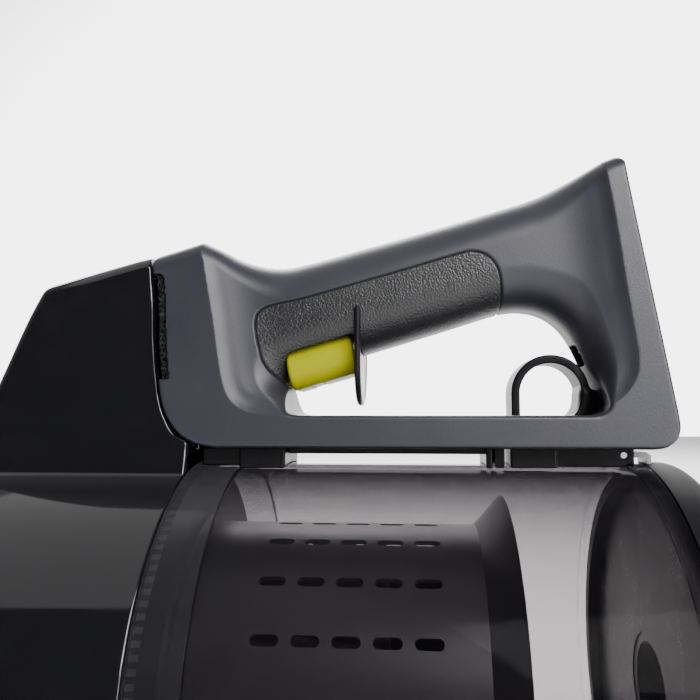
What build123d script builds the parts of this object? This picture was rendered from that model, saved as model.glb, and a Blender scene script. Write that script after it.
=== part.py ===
"""Canister vacuum cleaner: wheeled motor chassis, lift-off clear dust bin with a D-handle, hinged front lid.

Frame: millimetres, +X towards the hose port, +Z up, origin on the floor under the middle of the overall box.
"""

from build123d import *
import math
import os

os.makedirs("parts", exist_ok=True)

# ---------------------------------------------------------------- overall layout
body_r = 88.0           # outer radius of the round body
belly_h = 42.0          # lowest line of the round body above the floor
rear_x = -198.0         # rear end of the base tray
seam_x = -23.0          # joint between motor housing and dust bin
lid_x = 155.0           # joint between dust bin and front lid
lid_len = 43.0          # joint to the lid's front face
wall = 3.0              # wall of the moulded covers
gap = 0.6               # visible gap between parts that come apart
fit = 0.4               # clearance between parts of different bodies
run = 0.06              # radial running clearance of a pin or shaft
axis_z = belly_h + body_r                   # height of the round body's axis above the floor
crown = axis_z + body_r                     # top line of the round body
nose_x = lid_x + lid_len

# ---------------------------------------------------------------- base tray
tray_wall = 3.8
tray_gap = 0.8
tray_front = 9.0        # front end of the tray behind the lid joint
tray_front_x = lid_x - tray_front
tray_rear_round = 40.0
waist_drop = 28.0       # tray rim below the axis, beside the motor housing
cradle_drop = 46.0      # tray rim below the axis, beside the bin
lap = 6.0               # how far the upper shell reaches down inside the tray
pad_rise = 0.9          # thickness of the cradle pads
tray_inner_r = body_r + tray_gap
tray_r = tray_inner_r + tray_wall
waist_z = axis_z - waist_drop
cradle_z = axis_z - cradle_drop

# ---------------------------------------------------------------- wheels
wheel_r = 76.0
wheel_x = -118.0
wheel_width = 24.0
tyre_depth = 7.0
rim_wall = 3.0
axle_r = 6.0
boss_r = 15.0
hub_r = 17.0
cap_t = 4.0
wheel_y = tray_r + 2.4                      # inner face of a rear wheel
caster_x = 112.0
caster_wheel_r = 11.5
caster_width = 13.0
caster_trail = 9.0
caster_pin_r = 2.0
caster_stem_r = 4.0
caster_plate_r = 14.0
caster_plate = 3.0
caster_arm = 3.0

# ---------------------------------------------------------------- motor and cord reel
motor_x0, motor_x1 = -118.0, -66.0
motor_r = 42.0
fan_r = 57.0
fan_front_x = -34.0
shaft_r = 4.0
bearing_r = 9.0
bearing_t = 6.0
sheet = 2.0             # wall of pressed metal parts
reel_x0, reel_x1 = -174.0, -140.0
reel_r = 62.0
reel_drum_r = 24.0
reel_flange = 2.5
reel_axle_r = 6.0
partition_x = -128.0    # partition between reel and motor
partition_t = 3.0
pedal_x, pedal_y, pedal_r = -149.0, 32.0, 15.0

# ---------------------------------------------------------------- fin and handle
handle_w = 50.0         # width of the flat-sided handle frame
slope = 16.0            # rise of the neck's top and of the grip, degrees
bar_low, bar_high = 6.3, 18.8               # lower bar of the frame, above the crown
neck_x, neck_lean = -36.6, 3.4              # rear face of the neck at its foot, and how far it leans back
peak_x, peak_h = -19.5, 89.0                # highest point of the neck, above the crown
post_foot, post_head, post_head_h = 9.5, -7.8, 120.2    # front post, from the lid joint, and its height
post_back = 16.0        # inner face of the post's foot behind the lid joint
post_foot_x, post_head_x = lid_x + post_foot, lid_x + post_head
post_back_x = lid_x - post_back
grip_x, grip_h = 60.0, 70.3                 # a point on the grip's centre line
grip_w, grip_t, grip_round = 40.0, 41.5, 15.0
pad_t = 2.2             # thickness of the rubber grip pad
guard_x, guard_t, guard_w = 42.0, 2.6, 44.0
fin_rear_x = -115.0
fin_top_x = -86.0
fin_step, fin_drop = 6.2, 11.0              # fin's front edge below the peak, and its fall to the rear
groove_w, groove_x = 18.0, -46.5            # guide groove for the latch in the fin's front

# ---------------------------------------------------------------- trigger, latches and release ring
trigger_x, trigger_h = -6.0, 34.0           # pivot of the trigger lever
trigger_w, trigger_t = 33.2, 16.2
trigger_sag = 2.8       # centre line of the bar below the pivot, across the grip
trigger_root = 7.0      # gap between pivot and bar
trigger_len = 50.0
hub_half = 8.0          # half width of the lever's hub
arm_half = 3.0          # half thickness of the arm that moves the latch
slot_play = 1.2         # play of the arm in the latch's window
trigger_arm = 24.0
trigger_turn = 12.0
trigger_lift = 11.0     # room above the trigger for its travel
foam_x, foam_h, foam_len = -34.0, 33.0, 43.0   # vent foam in the back of the neck
guard_low, guard_high = 22.9, 62.2
latch_w, latch_t = 14.0, 4.0
latch_reach = 5.0       # how far the latch stands out of the neck
pin_r = 2.0
ring_back, ring_h = 9.0, 24.5               # pivot of the release ring, behind the lid joint
ring_x = lid_x - ring_back
ring_w, ring_t = 26.0, 4.0
ring_reach, ring_mid_h, ring_r = 26.1, 27.5, 15.6
ring_mid_x = ring_x - ring_reach
ring_turn = 12.0
ring_leg_h = 10.8       # foot of the ring's long leg, above the crown
hook_back, hook_h = 8.0, 3.3                # pivot of the lid latch, behind the lid joint
hook_x = lid_x - hook_back
hook_heel, hook_toe = 10.0, 11.6            # heel and toe of the hook, ahead of its pivot
hook_w = 12.0
hook_pin_r = 1.2

# ---------------------------------------------------------------- dust bin and lid
barrel_r = body_r - 0.8
clear_wall = 2.8
collar_x = -5.0
back_t = 3.0            # back plate of the bin
filter_r, filter_t, frame_wall = 52.0, 9.0, 4.0
shroud_r, shroud_x = 62.0, 90.0
skirt_r, skirt_x = 74.0, 101.0
cone_count, cone_ring_r, cone_r, cone_tip_r, cone_len = 7, 38.0, 14.0, 6.0, 64.0
port_r = 22.0           # air port between bin and motor
lid_drop, lid_round = 31.0, 8.0             # fall of the lid from rim to face, and its shoulder
lid_face_r = body_r - lid_drop
hose_r = 17.5           # bore of the hose socket
hose_wall = 3.5
hose_depth = 42.0
hinge_r = 4.0
hinge_drop = 4.6        # lid hinge axis below the body
hinge_half = 12.0       # half width of the lid's knuckle
hinge_z = axis_z - body_r - hinge_drop


def write(builder, name):
    """Labels a finished piece and writes it as one STEP file."""
    builder.part.label = name
    export_step(builder.part, f"parts/{name}.step")


def rod(origin, direction, radius, length, mode=Mode.ADD):
    """Round bar from origin along direction."""
    with BuildSketch(Plane(origin=origin, z_dir=direction)) as section:
        Circle(radius)
    extrude(section.sketch, amount=length, mode=mode)


def drum(radius, x0, x1, mode=Mode.ADD):
    """Round bar about the body's axis."""
    rod((x0, 0, axis_z), (1, 0, 0), radius, x1 - x0, mode)


def block(x0, x1, y0, y1, z0, z1, mode=Mode.ADD):
    """Rectangular block between two corners."""
    with Locations(((x0 + x1) / 2, (y0 + y1) / 2, (z0 + z1) / 2)):
        Box(x1 - x0, y1 - y0, z1 - z0, mode=mode)


def plate_xz(points, y0, y1, mode=Mode.ADD):
    """Plate with a straight-sided outline in the side view, from y0 to y1."""
    with BuildSketch(Plane.XZ.offset(-y1)) as section:
        with BuildLine():
            Polyline(*points, close=True)
        make_face()
    extrude(section.sketch, amount=y1 - y0, mode=mode)


def turned(points, mode=Mode.ADD):
    """Solid turned about the body's axis from a straight-sided outline of (x, radius) points."""
    with BuildSketch(Plane.XZ) as section:
        with BuildLine():
            Polyline(*[(x, axis_z + r) for x, r in points], close=True)
        make_face()
    revolve(section.sketch, axis=Axis((0, 0, axis_z), (1, 0, 0)), mode=mode)


def domed(x_rear, x_front, radius, rounding, mode=Mode.ADD):
    """Round housing with a rounded rear edge."""
    with BuildSketch(Plane.XZ) as section:
        with BuildLine():
            out = axis_z + radius
            Polyline((x_rear, out - rounding), (x_rear, axis_z), (x_front, axis_z), (x_front, out),
                     (x_rear + rounding, out))
            RadiusArc((x_rear + rounding, out), (x_rear, out - rounding), -rounding)
        make_face()
    revolve(section.sketch, axis=Axis((0, 0, axis_z), (1, 0, 0)), mode=mode)


# ================================================================ chassis
# ---- base tray: lower half shell with waist and cradle rims
big = 400.0
shell_rear_x = rear_x + tray_wall + tray_gap
shell_round = tray_rear_round - tray_wall - tray_gap
with BuildPart() as base_tray:
    domed(rear_x, tray_front_x, tray_r, tray_rear_round)
    for side in (1, -1):
        rod((wheel_x, side * (wheel_y - fit - 40), wheel_r), (0, side, 0), boss_r, 40)
    rod((caster_x, 0, axis_z - tray_r - 4.0), (0, 0, 1), caster_plate_r, 20)
    domed(rear_x + tray_wall, tray_front_x, tray_inner_r, tray_rear_round - tray_wall, Mode.SUBTRACT)
    drum(tray_inner_r, 0, tray_front_x + 1, Mode.SUBTRACT)
    block(rear_x - 1, seam_x, -big, big, waist_z, waist_z + big, Mode.SUBTRACT)
    block(seam_x, tray_front_x + 1, -big, big, cradle_z, cradle_z + big, Mode.SUBTRACT)
    for side in (1, -1):
        rod((wheel_x, side * 60, wheel_r), (0, side, 0), axle_r, 60, Mode.SUBTRACT)
    rod((caster_x, 0, 0), (0, 0, 1), caster_stem_r + run, axis_z, Mode.SUBTRACT)
write(base_tray, "base_tray")

# ---- rubber pads that carry the bin in the cradle
with BuildPart() as cradle_pads:
    for x in (10, 110):
        drum(tray_inner_r, x, x + 12)
    drum(tray_inner_r - pad_rise, 0, lid_x, Mode.SUBTRACT)
    block(-big, big, -big, big, cradle_z - 4, big, Mode.SUBTRACT)
    rod((caster_x, 0, 0), (0, 0, 1), caster_stem_r + 4, axis_z, Mode.SUBTRACT)
write(cradle_pads, "cradle_pads")

# ---- upper motor housing with the fin
fin_front_foot = neck_x - gap
fin_front_head = neck_x - neck_lean - gap
fin_top_h = peak_h - fin_step
grille_w, grille_h = 70.0, 30.0
grille_z = axis_z + 24.0
gland_z = axis_z - 14.0
gland_y = 26.0
gland_r = 8.0
with BuildPart() as rear_shell:
    domed(shell_rear_x, seam_x - fit, body_r, shell_round)
    with BuildSketch(Plane.XZ.offset(-handle_w / 2)) as fin_side:
        with BuildLine():
            Polyline(
                (fin_front_foot, crown - 30), (fin_front_foot, crown + bar_low),
                (fin_front_head, crown + fin_top_h), (fin_top_x, crown + fin_top_h - fin_drop),
                (-96, crown + 58), (fin_rear_x, crown + 8), (fin_rear_x - 12, crown - 30), close=True)
        make_face()
        fillet(fin_side.vertices().group_by(Axis.Y)[-2], radius=4.0)
    extrude(fin_side.sketch, amount=handle_w)
    domed(shell_rear_x + wall, seam_x, body_r - wall, shell_round - wall, Mode.SUBTRACT)
    plate_xz(
        [(groove_x - wall, crown - 20), (groove_x - wall, crown + fin_top_h - wall - 3),
         (fin_top_x + 2, crown + fin_top_h - fin_drop - wall), (-92, crown + 57),
         (fin_rear_x + wall + 2, crown - 2),
         (fin_rear_x + wall + 2, crown - 20)],
        -handle_w / 2 + wall, handle_w / 2 - wall, Mode.SUBTRACT)
    block(groove_x, 0, -groove_w / 2, groove_w / 2, crown + bar_low, big, Mode.SUBTRACT)
    block(-big, 0, -big, big, -big, waist_z - lap, Mode.SUBTRACT)
    for side in (1, -1):
        rod((pedal_x, side * pedal_y, axis_z), (0, 0, 1), pedal_r + fit, 200, Mode.SUBTRACT)
    block(rear_x, shell_rear_x + wall + 1, -grille_w / 2, grille_w / 2,
          grille_z - grille_h / 2, grille_z + grille_h / 2, Mode.SUBTRACT)
    rod((rear_x, gland_y, gland_z), (1, 0, 0), gland_r, 20, Mode.SUBTRACT)
write(rear_shell, "rear_shell")

# ---- bulkhead that closes the motor housing, and the gasket on it
bulkhead_x1 = seam_x - fit - 3.0
bulkhead_x0 = bulkhead_x1 - wall
with BuildPart() as bulkhead:
    drum(body_r - wall, bulkhead_x0, bulkhead_x1)
    drum(port_r, bulkhead_x0, bulkhead_x1, Mode.SUBTRACT)
write(bulkhead, "bulkhead")

with BuildPart() as port_gasket:
    drum(port_r + 6, bulkhead_x1, seam_x - fit)
    drum(port_r, bulkhead_x1, seam_x, Mode.SUBTRACT)
write(port_gasket, "port_gasket")

# ---- steel catch under which the latch hooks
latch_h = bar_low + wall + 0.9               # underside of the latch, above the crown
catch_h = latch_h + latch_t + 0.5
with BuildPart() as latch_catch:
    block(groove_x, groove_x + 6.0, -groove_w / 2, groove_w / 2, crown + catch_h, crown + catch_h + 2.0)
write(latch_catch, "latch_catch")

# ---- exhaust filter and grille
with BuildPart() as exhaust_grille:
    block(shell_rear_x, shell_rear_x + wall, -grille_w / 2, grille_w / 2,
          grille_z - grille_h / 2, grille_z + grille_h / 2)
    with BuildSketch(Plane(origin=(shell_rear_x, 0, grille_z), x_dir=(0, 1, 0), z_dir=(1, 0, 0))):
        with GridLocations(0, 5.0, 1, 5):
            SlotOverall(grille_w - 8, 2.6)
    extrude(amount=wall, mode=Mode.SUBTRACT)
write(exhaust_grille, "exhaust_grille")

filter_x0 = shell_rear_x + wall + 0.4
with BuildPart() as exhaust_filter:
    block(filter_x0, filter_x0 + 10, -grille_w / 2 + 2, grille_w / 2 - 2, grille_z - 14, grille_z + 14)
write(exhaust_filter, "exhaust_filter")

# ---- cord outlet bush
with BuildPart() as cord_gland:
    rod((shell_rear_x - 2, gland_y, gland_z), (1, 0, 0), gland_r, 2 + wall)
    rod((shell_rear_x + wall, gland_y, gland_z), (1, 0, 0), gland_r + 2, 2)
    rod((shell_rear_x - 3, gland_y, gland_z), (1, 0, 0), 4.2, 12, Mode.SUBTRACT)
    chamfer(cord_gland.edges().filter_by(GeomType.CIRCLE).sort_by(Axis.X)[0:2], length=0.8)
write(cord_gland, "cord_gland")

# ---- partition between reel and motor, with the reel's axle and the rear motor mount
with BuildPart() as partition:
    drum(body_r - wall, partition_x - partition_t, partition_x)
    drum(motor_r - 12, partition_x - partition_t, partition_x, Mode.SUBTRACT)
    drum(motor_r - 14, partition_x - partition_t, partition_x)
    with BuildSketch(Plane.YZ.offset(partition_x - partition_t)):
        with Locations((0, axis_z)):
            with PolarLocations(60, 8):
                SlotOverall(24, 8, rotation=90)
    extrude(amount=partition_t, mode=Mode.SUBTRACT)
    block(partition_x - partition_t, partition_x, -5, 5, axis_z - 40, axis_z + 40)
    block(partition_x - partition_t, partition_x, -40, 40, axis_z - 5, axis_z + 5)
    drum(reel_axle_r + run, partition_x - partition_t, partition_x, Mode.SUBTRACT)
write(partition, "partition")

with BuildPart() as reel_axle:
    drum(reel_axle_r + 5, partition_x - partition_t - 2.4, partition_x - partition_t)
    drum(reel_axle_r, reel_x0 - 6, partition_x - partition_t)
write(reel_axle, "reel_axle")

with BuildPart() as motor_mounts:
    drum(motor_r - 14, partition_x, motor_x0)
    drum(motor_r - 24, partition_x, motor_x0, Mode.SUBTRACT)
    drum(port_r + 14, fan_front_x, bulkhead_x0)
    drum(port_r + 4, fan_front_x, bulkhead_x0, Mode.SUBTRACT)
write(motor_mounts, "motor_mounts")

# ---- motor: can, field, fan cover, bearings
with BuildPart() as motor_can:
    drum(motor_r, motor_x0, motor_x1)
    drum(motor_r - sheet, motor_x0 + sheet, motor_x1, Mode.SUBTRACT)
    drum(bearing_r, motor_x0, motor_x0 + sheet, Mode.SUBTRACT)
    with BuildSketch(Plane.YZ.offset(motor_x0)):
        with Locations((0, axis_z)):
            with PolarLocations(34, 6):
                SlotOverall(16, 6, rotation=90)
    extrude(amount=sheet, mode=Mode.SUBTRACT)
write(motor_can, "motor_can")

with BuildPart() as motor_field:
    drum(motor_r - sheet, motor_x0 + 14, motor_x1 - 8)
    drum(30, motor_x0 + 14, motor_x1 - 8, Mode.SUBTRACT)
write(motor_field, "motor_field")

with BuildPart() as fan_cover:
    drum(fan_r, motor_x1, fan_front_x)
    drum(fan_r - sheet, motor_x1 + sheet, fan_front_x - sheet, Mode.SUBTRACT)
    drum(port_r, fan_front_x - sheet, fan_front_x, Mode.SUBTRACT)
    drum(bearing_r, motor_x1, motor_x1 + sheet, Mode.SUBTRACT)
    with BuildSketch(Plane.YZ.offset(motor_x1)):
        with Locations((0, axis_z)):
            with PolarLocations(28, 8):
                Circle(6)
    extrude(amount=sheet, mode=Mode.SUBTRACT)
write(fan_cover, "fan_cover")

with BuildPart() as motor_bearings:
    for x0 in (motor_x0 - 1, motor_x1 - bearing_t + sheet):
        drum(bearing_r, x0, x0 + bearing_t)
        drum(shaft_r + run, x0 - 1, x0 + bearing_t + 1, Mode.SUBTRACT)
write(motor_bearings, "motor_bearings")

with BuildPart() as motor_shaft:
    drum(shaft_r, motor_x0 - 2, fan_front_x - 8)
write(motor_shaft, "motor_shaft")

with BuildPart() as armature:
    drum(28, motor_x0 + 16, motor_x1 - 10)
    drum(14, motor_x0 + 7, motor_x0 + 16)
    drum(shaft_r, motor_x0, motor_x1, Mode.SUBTRACT)
write(armature, "armature")

with BuildPart() as fan_impeller:
    drum(fan_r - sheet - 3, motor_x1 + 8, motor_x1 + 10)
    drum(fan_r - sheet - 3, motor_x1 + 20, motor_x1 + 22)
    drum(port_r, motor_x1 + 20, motor_x1 + 22, Mode.SUBTRACT)
    drum(9, motor_x1 + 8, motor_x1 + 22)
    with BuildSketch(Plane.YZ.offset(motor_x1 + 9)):
        with Locations((0, axis_z)):
            with PolarLocations(38, 9):
                Rectangle(30, 1.6, rotation=35)
    extrude(amount=12)
    drum(shaft_r, motor_x1, fan_front_x, Mode.SUBTRACT)
write(fan_impeller, "fan_impeller")

# ---- cord reel
with BuildPart() as cord_reel:
    drum(reel_r, reel_x0, reel_x0 + reel_flange)
    drum(reel_drum_r, reel_x0, reel_x1)
    drum(reel_r, reel_x1 - reel_flange, reel_x1)
    drum(reel_axle_r + run, reel_x0 - 1, reel_x1 + 1, Mode.SUBTRACT)
    with BuildSketch(Plane.YZ.offset(reel_x0)):
        with Locations((0, axis_z)):
            with PolarLocations(44, 6):
                Circle(9)
    extrude(amount=reel_x1 - reel_x0, mode=Mode.SUBTRACT)
write(cord_reel, "cord_reel")

# ---- pedals, their carrier, springs and the control board
pedal_top = axis_z + math.sqrt(body_r ** 2 - pedal_y ** 2) + 4.0
carrier_z = pedal_top - 22.0
stem_r = 4.0
spring_r = 6.4
carrier_half = math.sqrt((body_r - wall) ** 2 - (carrier_z + 3 - axis_z) ** 2)
with BuildPart() as pedal_carrier:
    block(pedal_x - 8, pedal_x + 8, -carrier_half, carrier_half, carrier_z, carrier_z + 3)
    for side in (1, -1):
        rod((pedal_x, side * pedal_y, carrier_z - 1), (0, 0, 1), stem_r + run, 6, Mode.SUBTRACT)
write(pedal_carrier, "pedal_carrier")

for side, label in ((1, "power"), (-1, "rewind")):
    with BuildPart() as pedal:
        rod((pedal_x, side * pedal_y, pedal_top - 12), (0, 0, 1), pedal_r, 12)
        fillet(pedal.edges().sort_by(Axis.Z)[-1], radius=2.0)
        rod((pedal_x, side * pedal_y, carrier_z - 1.5), (0, 0, 1), stem_r, pedal_top - 12 - carrier_z + 1.5)
    write(pedal, f"{label}_pedal")
    with BuildPart() as pedal_spring:
        rod((pedal_x, side * pedal_y, carrier_z + 3), (0, 0, 1), spring_r, pedal_top - 12 - carrier_z - 3)
        rod((pedal_x, side * pedal_y, carrier_z + 3), (0, 0, 1), spring_r - 1.4, 30, Mode.SUBTRACT)
    write(pedal_spring, f"{label}_pedal_spring")

with BuildPart() as control_board:
    block(-112, -52, -26, 26, axis_z + fan_r + 4, axis_z + fan_r + 5.6)
    block(-100, -84, -16, 4, axis_z + fan_r + 5.6, axis_z + fan_r + 16)
    block(-78, -62, -20, -4, axis_z + fan_r + 5.6, axis_z + fan_r + 12)
    block(-110, -106, -26, 26, axis_z + motor_r, axis_z + fan_r + 4)
write(control_board, "control_board")

# ---- rear wheels
rim_r = wheel_r - tyre_depth - rim_wall      # inside radius of the rim
axle_y0, axle_y1 = 75.0, wheel_y + wheel_width - cap_t - 2.0
with BuildPart() as wheel_axles:
    for side in (1, -1):
        rod((wheel_x, side * axle_y0, wheel_r), (0, side, 0), axle_r, axle_y1 - axle_y0)
        rod((wheel_x, side * (axle_y1 - 2.6), wheel_r), (0, side, 0), axle_r + 3, 2.6)
write(wheel_axles, "wheel_axles")

for side, label in ((1, "left"), (-1, "right")):
    y_in = side * wheel_y
    out = (0, side, 0)
    with BuildPart() as wheel:
        rod((wheel_x, y_in, wheel_r), out, wheel_r - tyre_depth, wheel_width)
        rod((wheel_x, side * (wheel_y + 12), wheel_r), out, rim_r, wheel_width, Mode.SUBTRACT)
        rod((wheel_x, side * (wheel_y - 8), wheel_r), out, rim_r, 11, Mode.SUBTRACT)
        rod((wheel_x, y_in, wheel_r), out, hub_r, wheel_width - cap_t - 5.4)
        rod((wheel_x, side * (wheel_y - 1), wheel_r), out, axle_r + run, 60, Mode.SUBTRACT)
    write(wheel, f"wheel_{label}")
    with BuildPart() as tyre:
        rod((wheel_x, y_in, wheel_r), out, wheel_r, wheel_width)
        rod((wheel_x, y_in, wheel_r), out, wheel_r - tyre_depth, wheel_width, Mode.SUBTRACT)
        fillet(tyre.edges().filter_by(GeomType.CIRCLE).group_by(SortBy.RADIUS)[-1], radius=3.0)
    write(tyre, f"tyre_{label}")
    with BuildPart() as hubcap:
        rod((wheel_x, side * (wheel_y + wheel_width - cap_t), wheel_r), out, rim_r, cap_t)
        fillet(hubcap.edges().sort_by(Axis.Y)[-1 if side > 0 else 0], radius=2.5)
    write(hubcap, f"hubcap_{label}")

# ---- caster
fork_z1 = axis_z - tray_r - 4.0 - 0.1
fork_x = caster_x - caster_trail
with BuildPart() as caster_fork:
    rod((caster_x, 0, fork_z1 - caster_plate), (0, 0, 1), caster_plate_r, caster_plate)
    rod((caster_x, 0, fork_z1), (0, 0, 1), caster_stem_r, axis_z - barrel_r - 1.0 - fork_z1)
    for side in (1, -1):
        y0 = side * (caster_width / 2 + fit + caster_arm / 2)
        block(fork_x - 5, caster_x + 4, y0 - caster_arm / 2, y0 + caster_arm / 2,
              caster_wheel_r - 4, fork_z1 - caster_plate / 2)
    rod((fork_x, -20, caster_wheel_r), (0, 1, 0), caster_pin_r, 40, Mode.SUBTRACT)
write(caster_fork, "caster_fork")

with BuildPart() as caster_axle:
    half = caster_width / 2 + fit + caster_arm
    rod((fork_x, -half, caster_wheel_r), (0, 1, 0), caster_pin_r, 2 * half)
write(caster_axle, "caster_axle")

with BuildPart() as caster_wheel:
    rod((fork_x, -caster_width / 2, caster_wheel_r), (0, 1, 0), caster_wheel_r, caster_width)
    fillet(caster_wheel.edges().filter_by(GeomType.CIRCLE), radius=2.0)
    rod((fork_x, -caster_width, caster_wheel_r), (0, 1, 0), caster_pin_r + run, 2 * caster_width,
        Mode.SUBTRACT)
write(caster_wheel, "caster_wheel")

# ================================================================ dust bin
filter_a = seam_x + back_t
cone_x = filter_a + filter_t + 1.0
with BuildPart() as bin_back:
    drum(body_r - clear_wall, seam_x, seam_x + back_t)
    drum(port_r, seam_x, seam_x + back_t, Mode.SUBTRACT)
    drum(filter_r + frame_wall, filter_a, filter_a + filter_t)
    drum(filter_r, filter_a, filter_a + filter_t, Mode.SUBTRACT)
write(bin_back, "bin_back")

with BuildPart() as bin_collar:
    drum(body_r, seam_x, collar_x)
    drum(body_r - clear_wall, seam_x, collar_x, Mode.SUBTRACT)
write(bin_collar, "bin_collar")

rim_x = lid_x - gap / 2 - 6.0
with BuildPart() as bin_barrel:
    drum(barrel_r, collar_x, lid_x - gap / 2)
    drum(body_r, rim_x, lid_x - gap / 2)
    for side in (1, -1):
        y0 = side * (hinge_half + fit + 4)
        rod((lid_x, y0 - 4, hinge_z), (0, 1, 0), hinge_r, 8)
        block(rim_x, lid_x - gap / 2, y0 - 4, y0 + 4, hinge_z, axis_z - body_r + 3)
    drum(barrel_r - clear_wall, collar_x, lid_x, Mode.SUBTRACT)
    rod((lid_x, -40, hinge_z), (0, 1, 0), pin_r, 80, Mode.SUBTRACT)
write(bin_barrel, "bin_barrel")

hinge_reach = hinge_half + fit + 8
with BuildPart() as lid_hinge_pin:
    rod((lid_x, -hinge_reach, hinge_z), (0, 1, 0), pin_r, 2 * hinge_reach)
write(lid_hinge_pin, "lid_hinge_pin")

with BuildPart() as pre_filter:
    drum(filter_r, filter_a, filter_a + filter_t)
write(pre_filter, "pre_filter")

with BuildPart() as cyclone_cones:
    drum(shroud_r - 2, cone_x, cone_x + 3)
    for turn in range(cone_count):
        angle = math.radians(turn * 360 / cone_count)
        cone_y = cone_ring_r * math.cos(angle)
        cone_z = axis_z + cone_ring_r * math.sin(angle)
        foot = (Align.CENTER, Align.CENTER, Align.MIN)
        with Locations(Plane(origin=(cone_x, cone_y, cone_z), z_dir=(1, 0, 0))):
            Cone(cone_r, cone_tip_r, cone_len, align=foot)
            Cylinder(cone_tip_r - 2, cone_len, align=foot, mode=Mode.SUBTRACT)
write(cyclone_cones, "cyclone_cones")

with BuildPart() as cyclone_shroud:
    turned([(cone_x - 1, shroud_r), (shroud_x, shroud_r), (skirt_x, skirt_r), (skirt_x, skirt_r - 2.2),
            (shroud_x + 1, shroud_r - 2), (shroud_x + 1, 0), (shroud_x - 1, 0), (shroud_x - 1, shroud_r - 2),
            (cone_x - 1, shroud_r - 2)])
    drum(shroud_r + 4, filter_a, filter_a + 2)
    drum(shroud_r, filter_a, cone_x)
    drum(shroud_r - 2, filter_a, cone_x, Mode.SUBTRACT)
    with BuildSketch(Plane.XY.offset(axis_z)) as slots:
        with Locations((42, 0)):
            with GridLocations(14, 1, 5, 1):
                SlotOverall(10, 4)
    for turn in range(0, 180, 20):
        ring_slots = slots.sketch.rotate(Axis((0, 0, axis_z), (1, 0, 0)), turn)
        extrude(ring_slots, amount=skirt_r, both=True, mode=Mode.SUBTRACT)
write(cyclone_shroud, "cyclone_shroud")

# ================================================================ handle
lean = math.radians(slope)
along = (math.cos(lean), 0, math.sin(lean))
across = (-math.sin(lean), 0, math.cos(lean))
half_w = handle_w / 2
bar_z0 = crown + bar_low
bar_z1 = crown + bar_high
neck_head_h = peak_h + (neck_x - neck_lean - peak_x) * math.tan(lean)


def frame_outline():
    """Side view of the U-shaped frame: neck, lower bar and front post. The grip closes it on top."""
    with BuildLine() as outline:
        Polyline((-12, crown + 85.6), (peak_x, crown + peak_h), (neck_x - neck_lean, crown + neck_head_h),
                 (neck_x, bar_z0), (post_foot_x, bar_z0), (post_head_x, crown + post_head_h),
                 (post_head_x - 6, crown + post_head_h - 1.5), (lid_x - 27, crown + 112.7),
                 (lid_x - 47, crown + 105.5), (lid_x - 33, crown + 58), (lid_x - 24, crown + 45),
                 (post_back_x, crown + 27), (post_back_x, bar_z1),
                 (14, bar_z1), (14, crown + 60), (12, crown + 80), (-4, crown + 82.3), close=True)
    make_face(outline.edges())


def grip_bar(shrink, from_x, to_x, mode=Mode.ADD):
    """Rounded bar along the grip's sloping centre line, between two places in x."""
    start = Vector(grip_x, 0, crown + grip_h) + Vector(*along) * ((from_x - grip_x) / math.cos(lean))
    with BuildSketch(Plane(origin=start, x_dir=(0, 1, 0), z_dir=along)) as section:
        RectangleRounded(grip_w - 2 * shrink, grip_t - 2 * shrink, grip_round - shrink)
    extrude(section.sketch, amount=(to_x - from_x) / math.cos(lean), mode=mode)


def ring_outline(grow=0.0):
    """Side view of the release ring: an arch with one long leg and a hub at its pivot."""
    top = crown + ring_mid_h
    left = ring_mid_x - ring_r - grow
    right = ring_mid_x + ring_r + grow
    hub_x = ring_x + 4 + grow
    foot = crown + ring_leg_h - grow
    with BuildLine() as outline:
        Line((left, foot), (left, top))
        ThreePointArc((left, top), (ring_mid_x, top + ring_r + grow), (right, top))
        Polyline((right, top), (hub_x, crown + ring_h + 4 + grow),
                 (hub_x, crown + ring_h - 5 - grow), (left, foot))
    make_face(outline.edges())


# ---- the outer form of the handle, before it is hollowed and split
def near(vertices, x, y):
    """The one corner of a sketch nearest to a point."""
    return min(vertices, key=lambda v: (v.X - x) ** 2 + (v.Y - y) ** 2)


with BuildPart() as handle_form:
    with BuildSketch(Plane.XZ.offset(-half_w)) as frame_side:
        frame_outline()
        fillet(near(frame_side.vertices(), neck_x, bar_z0), radius=20)
        fillet(near(frame_side.vertices(), post_foot_x, bar_z0), radius=9)
        fillet(near(frame_side.vertices(), 14, bar_z1), radius=6)
        fillet(near(frame_side.vertices(), post_back_x, bar_z1), radius=5)
    extrude(frame_side.sketch, amount=handle_w)
    grip_bar(0, -6, lid_x - 19)

with BuildPart() as handle_core:
    with BuildSketch(Plane.XZ.offset(-half_w + wall)) as frame_side:
        frame_outline()
        offset(amount=-wall, kind=Kind.INTERSECTION)
    extrude(frame_side.sketch, amount=handle_w - 2 * wall)
    grip_bar(wall + pad_t, -16, lid_x - 21)


# ---- rubber grip pad: lower half of the grip's skin, between the neck and the post
with BuildPart() as grip_pad:
    grip_bar(0, 2, 98)
    grip_bar(pad_t, 1, 99, Mode.SUBTRACT)
    top_cut = Plane(origin=(grip_x, 0, crown + grip_h + 2), x_dir=along, z_dir=across)
    with BuildSketch(top_cut) as half:
        Rectangle(300, 100)
    extrude(half.sketch, amount=60, mode=Mode.SUBTRACT)
    lever_space = Plane(origin=(trigger_x, 0, crown + trigger_h), x_dir=(0, 1, 0), z_dir=along)
    with BuildSketch(lever_space) as space:
        with Locations((0, trigger_lift / 2 - trigger_sag)):
            Rectangle(trigger_w + 2 * fit, trigger_t + trigger_lift + 2 * fit)
    extrude(space.sketch, amount=trigger_len + fit, mode=Mode.SUBTRACT)
write(grip_pad, "grip_pad")

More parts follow.
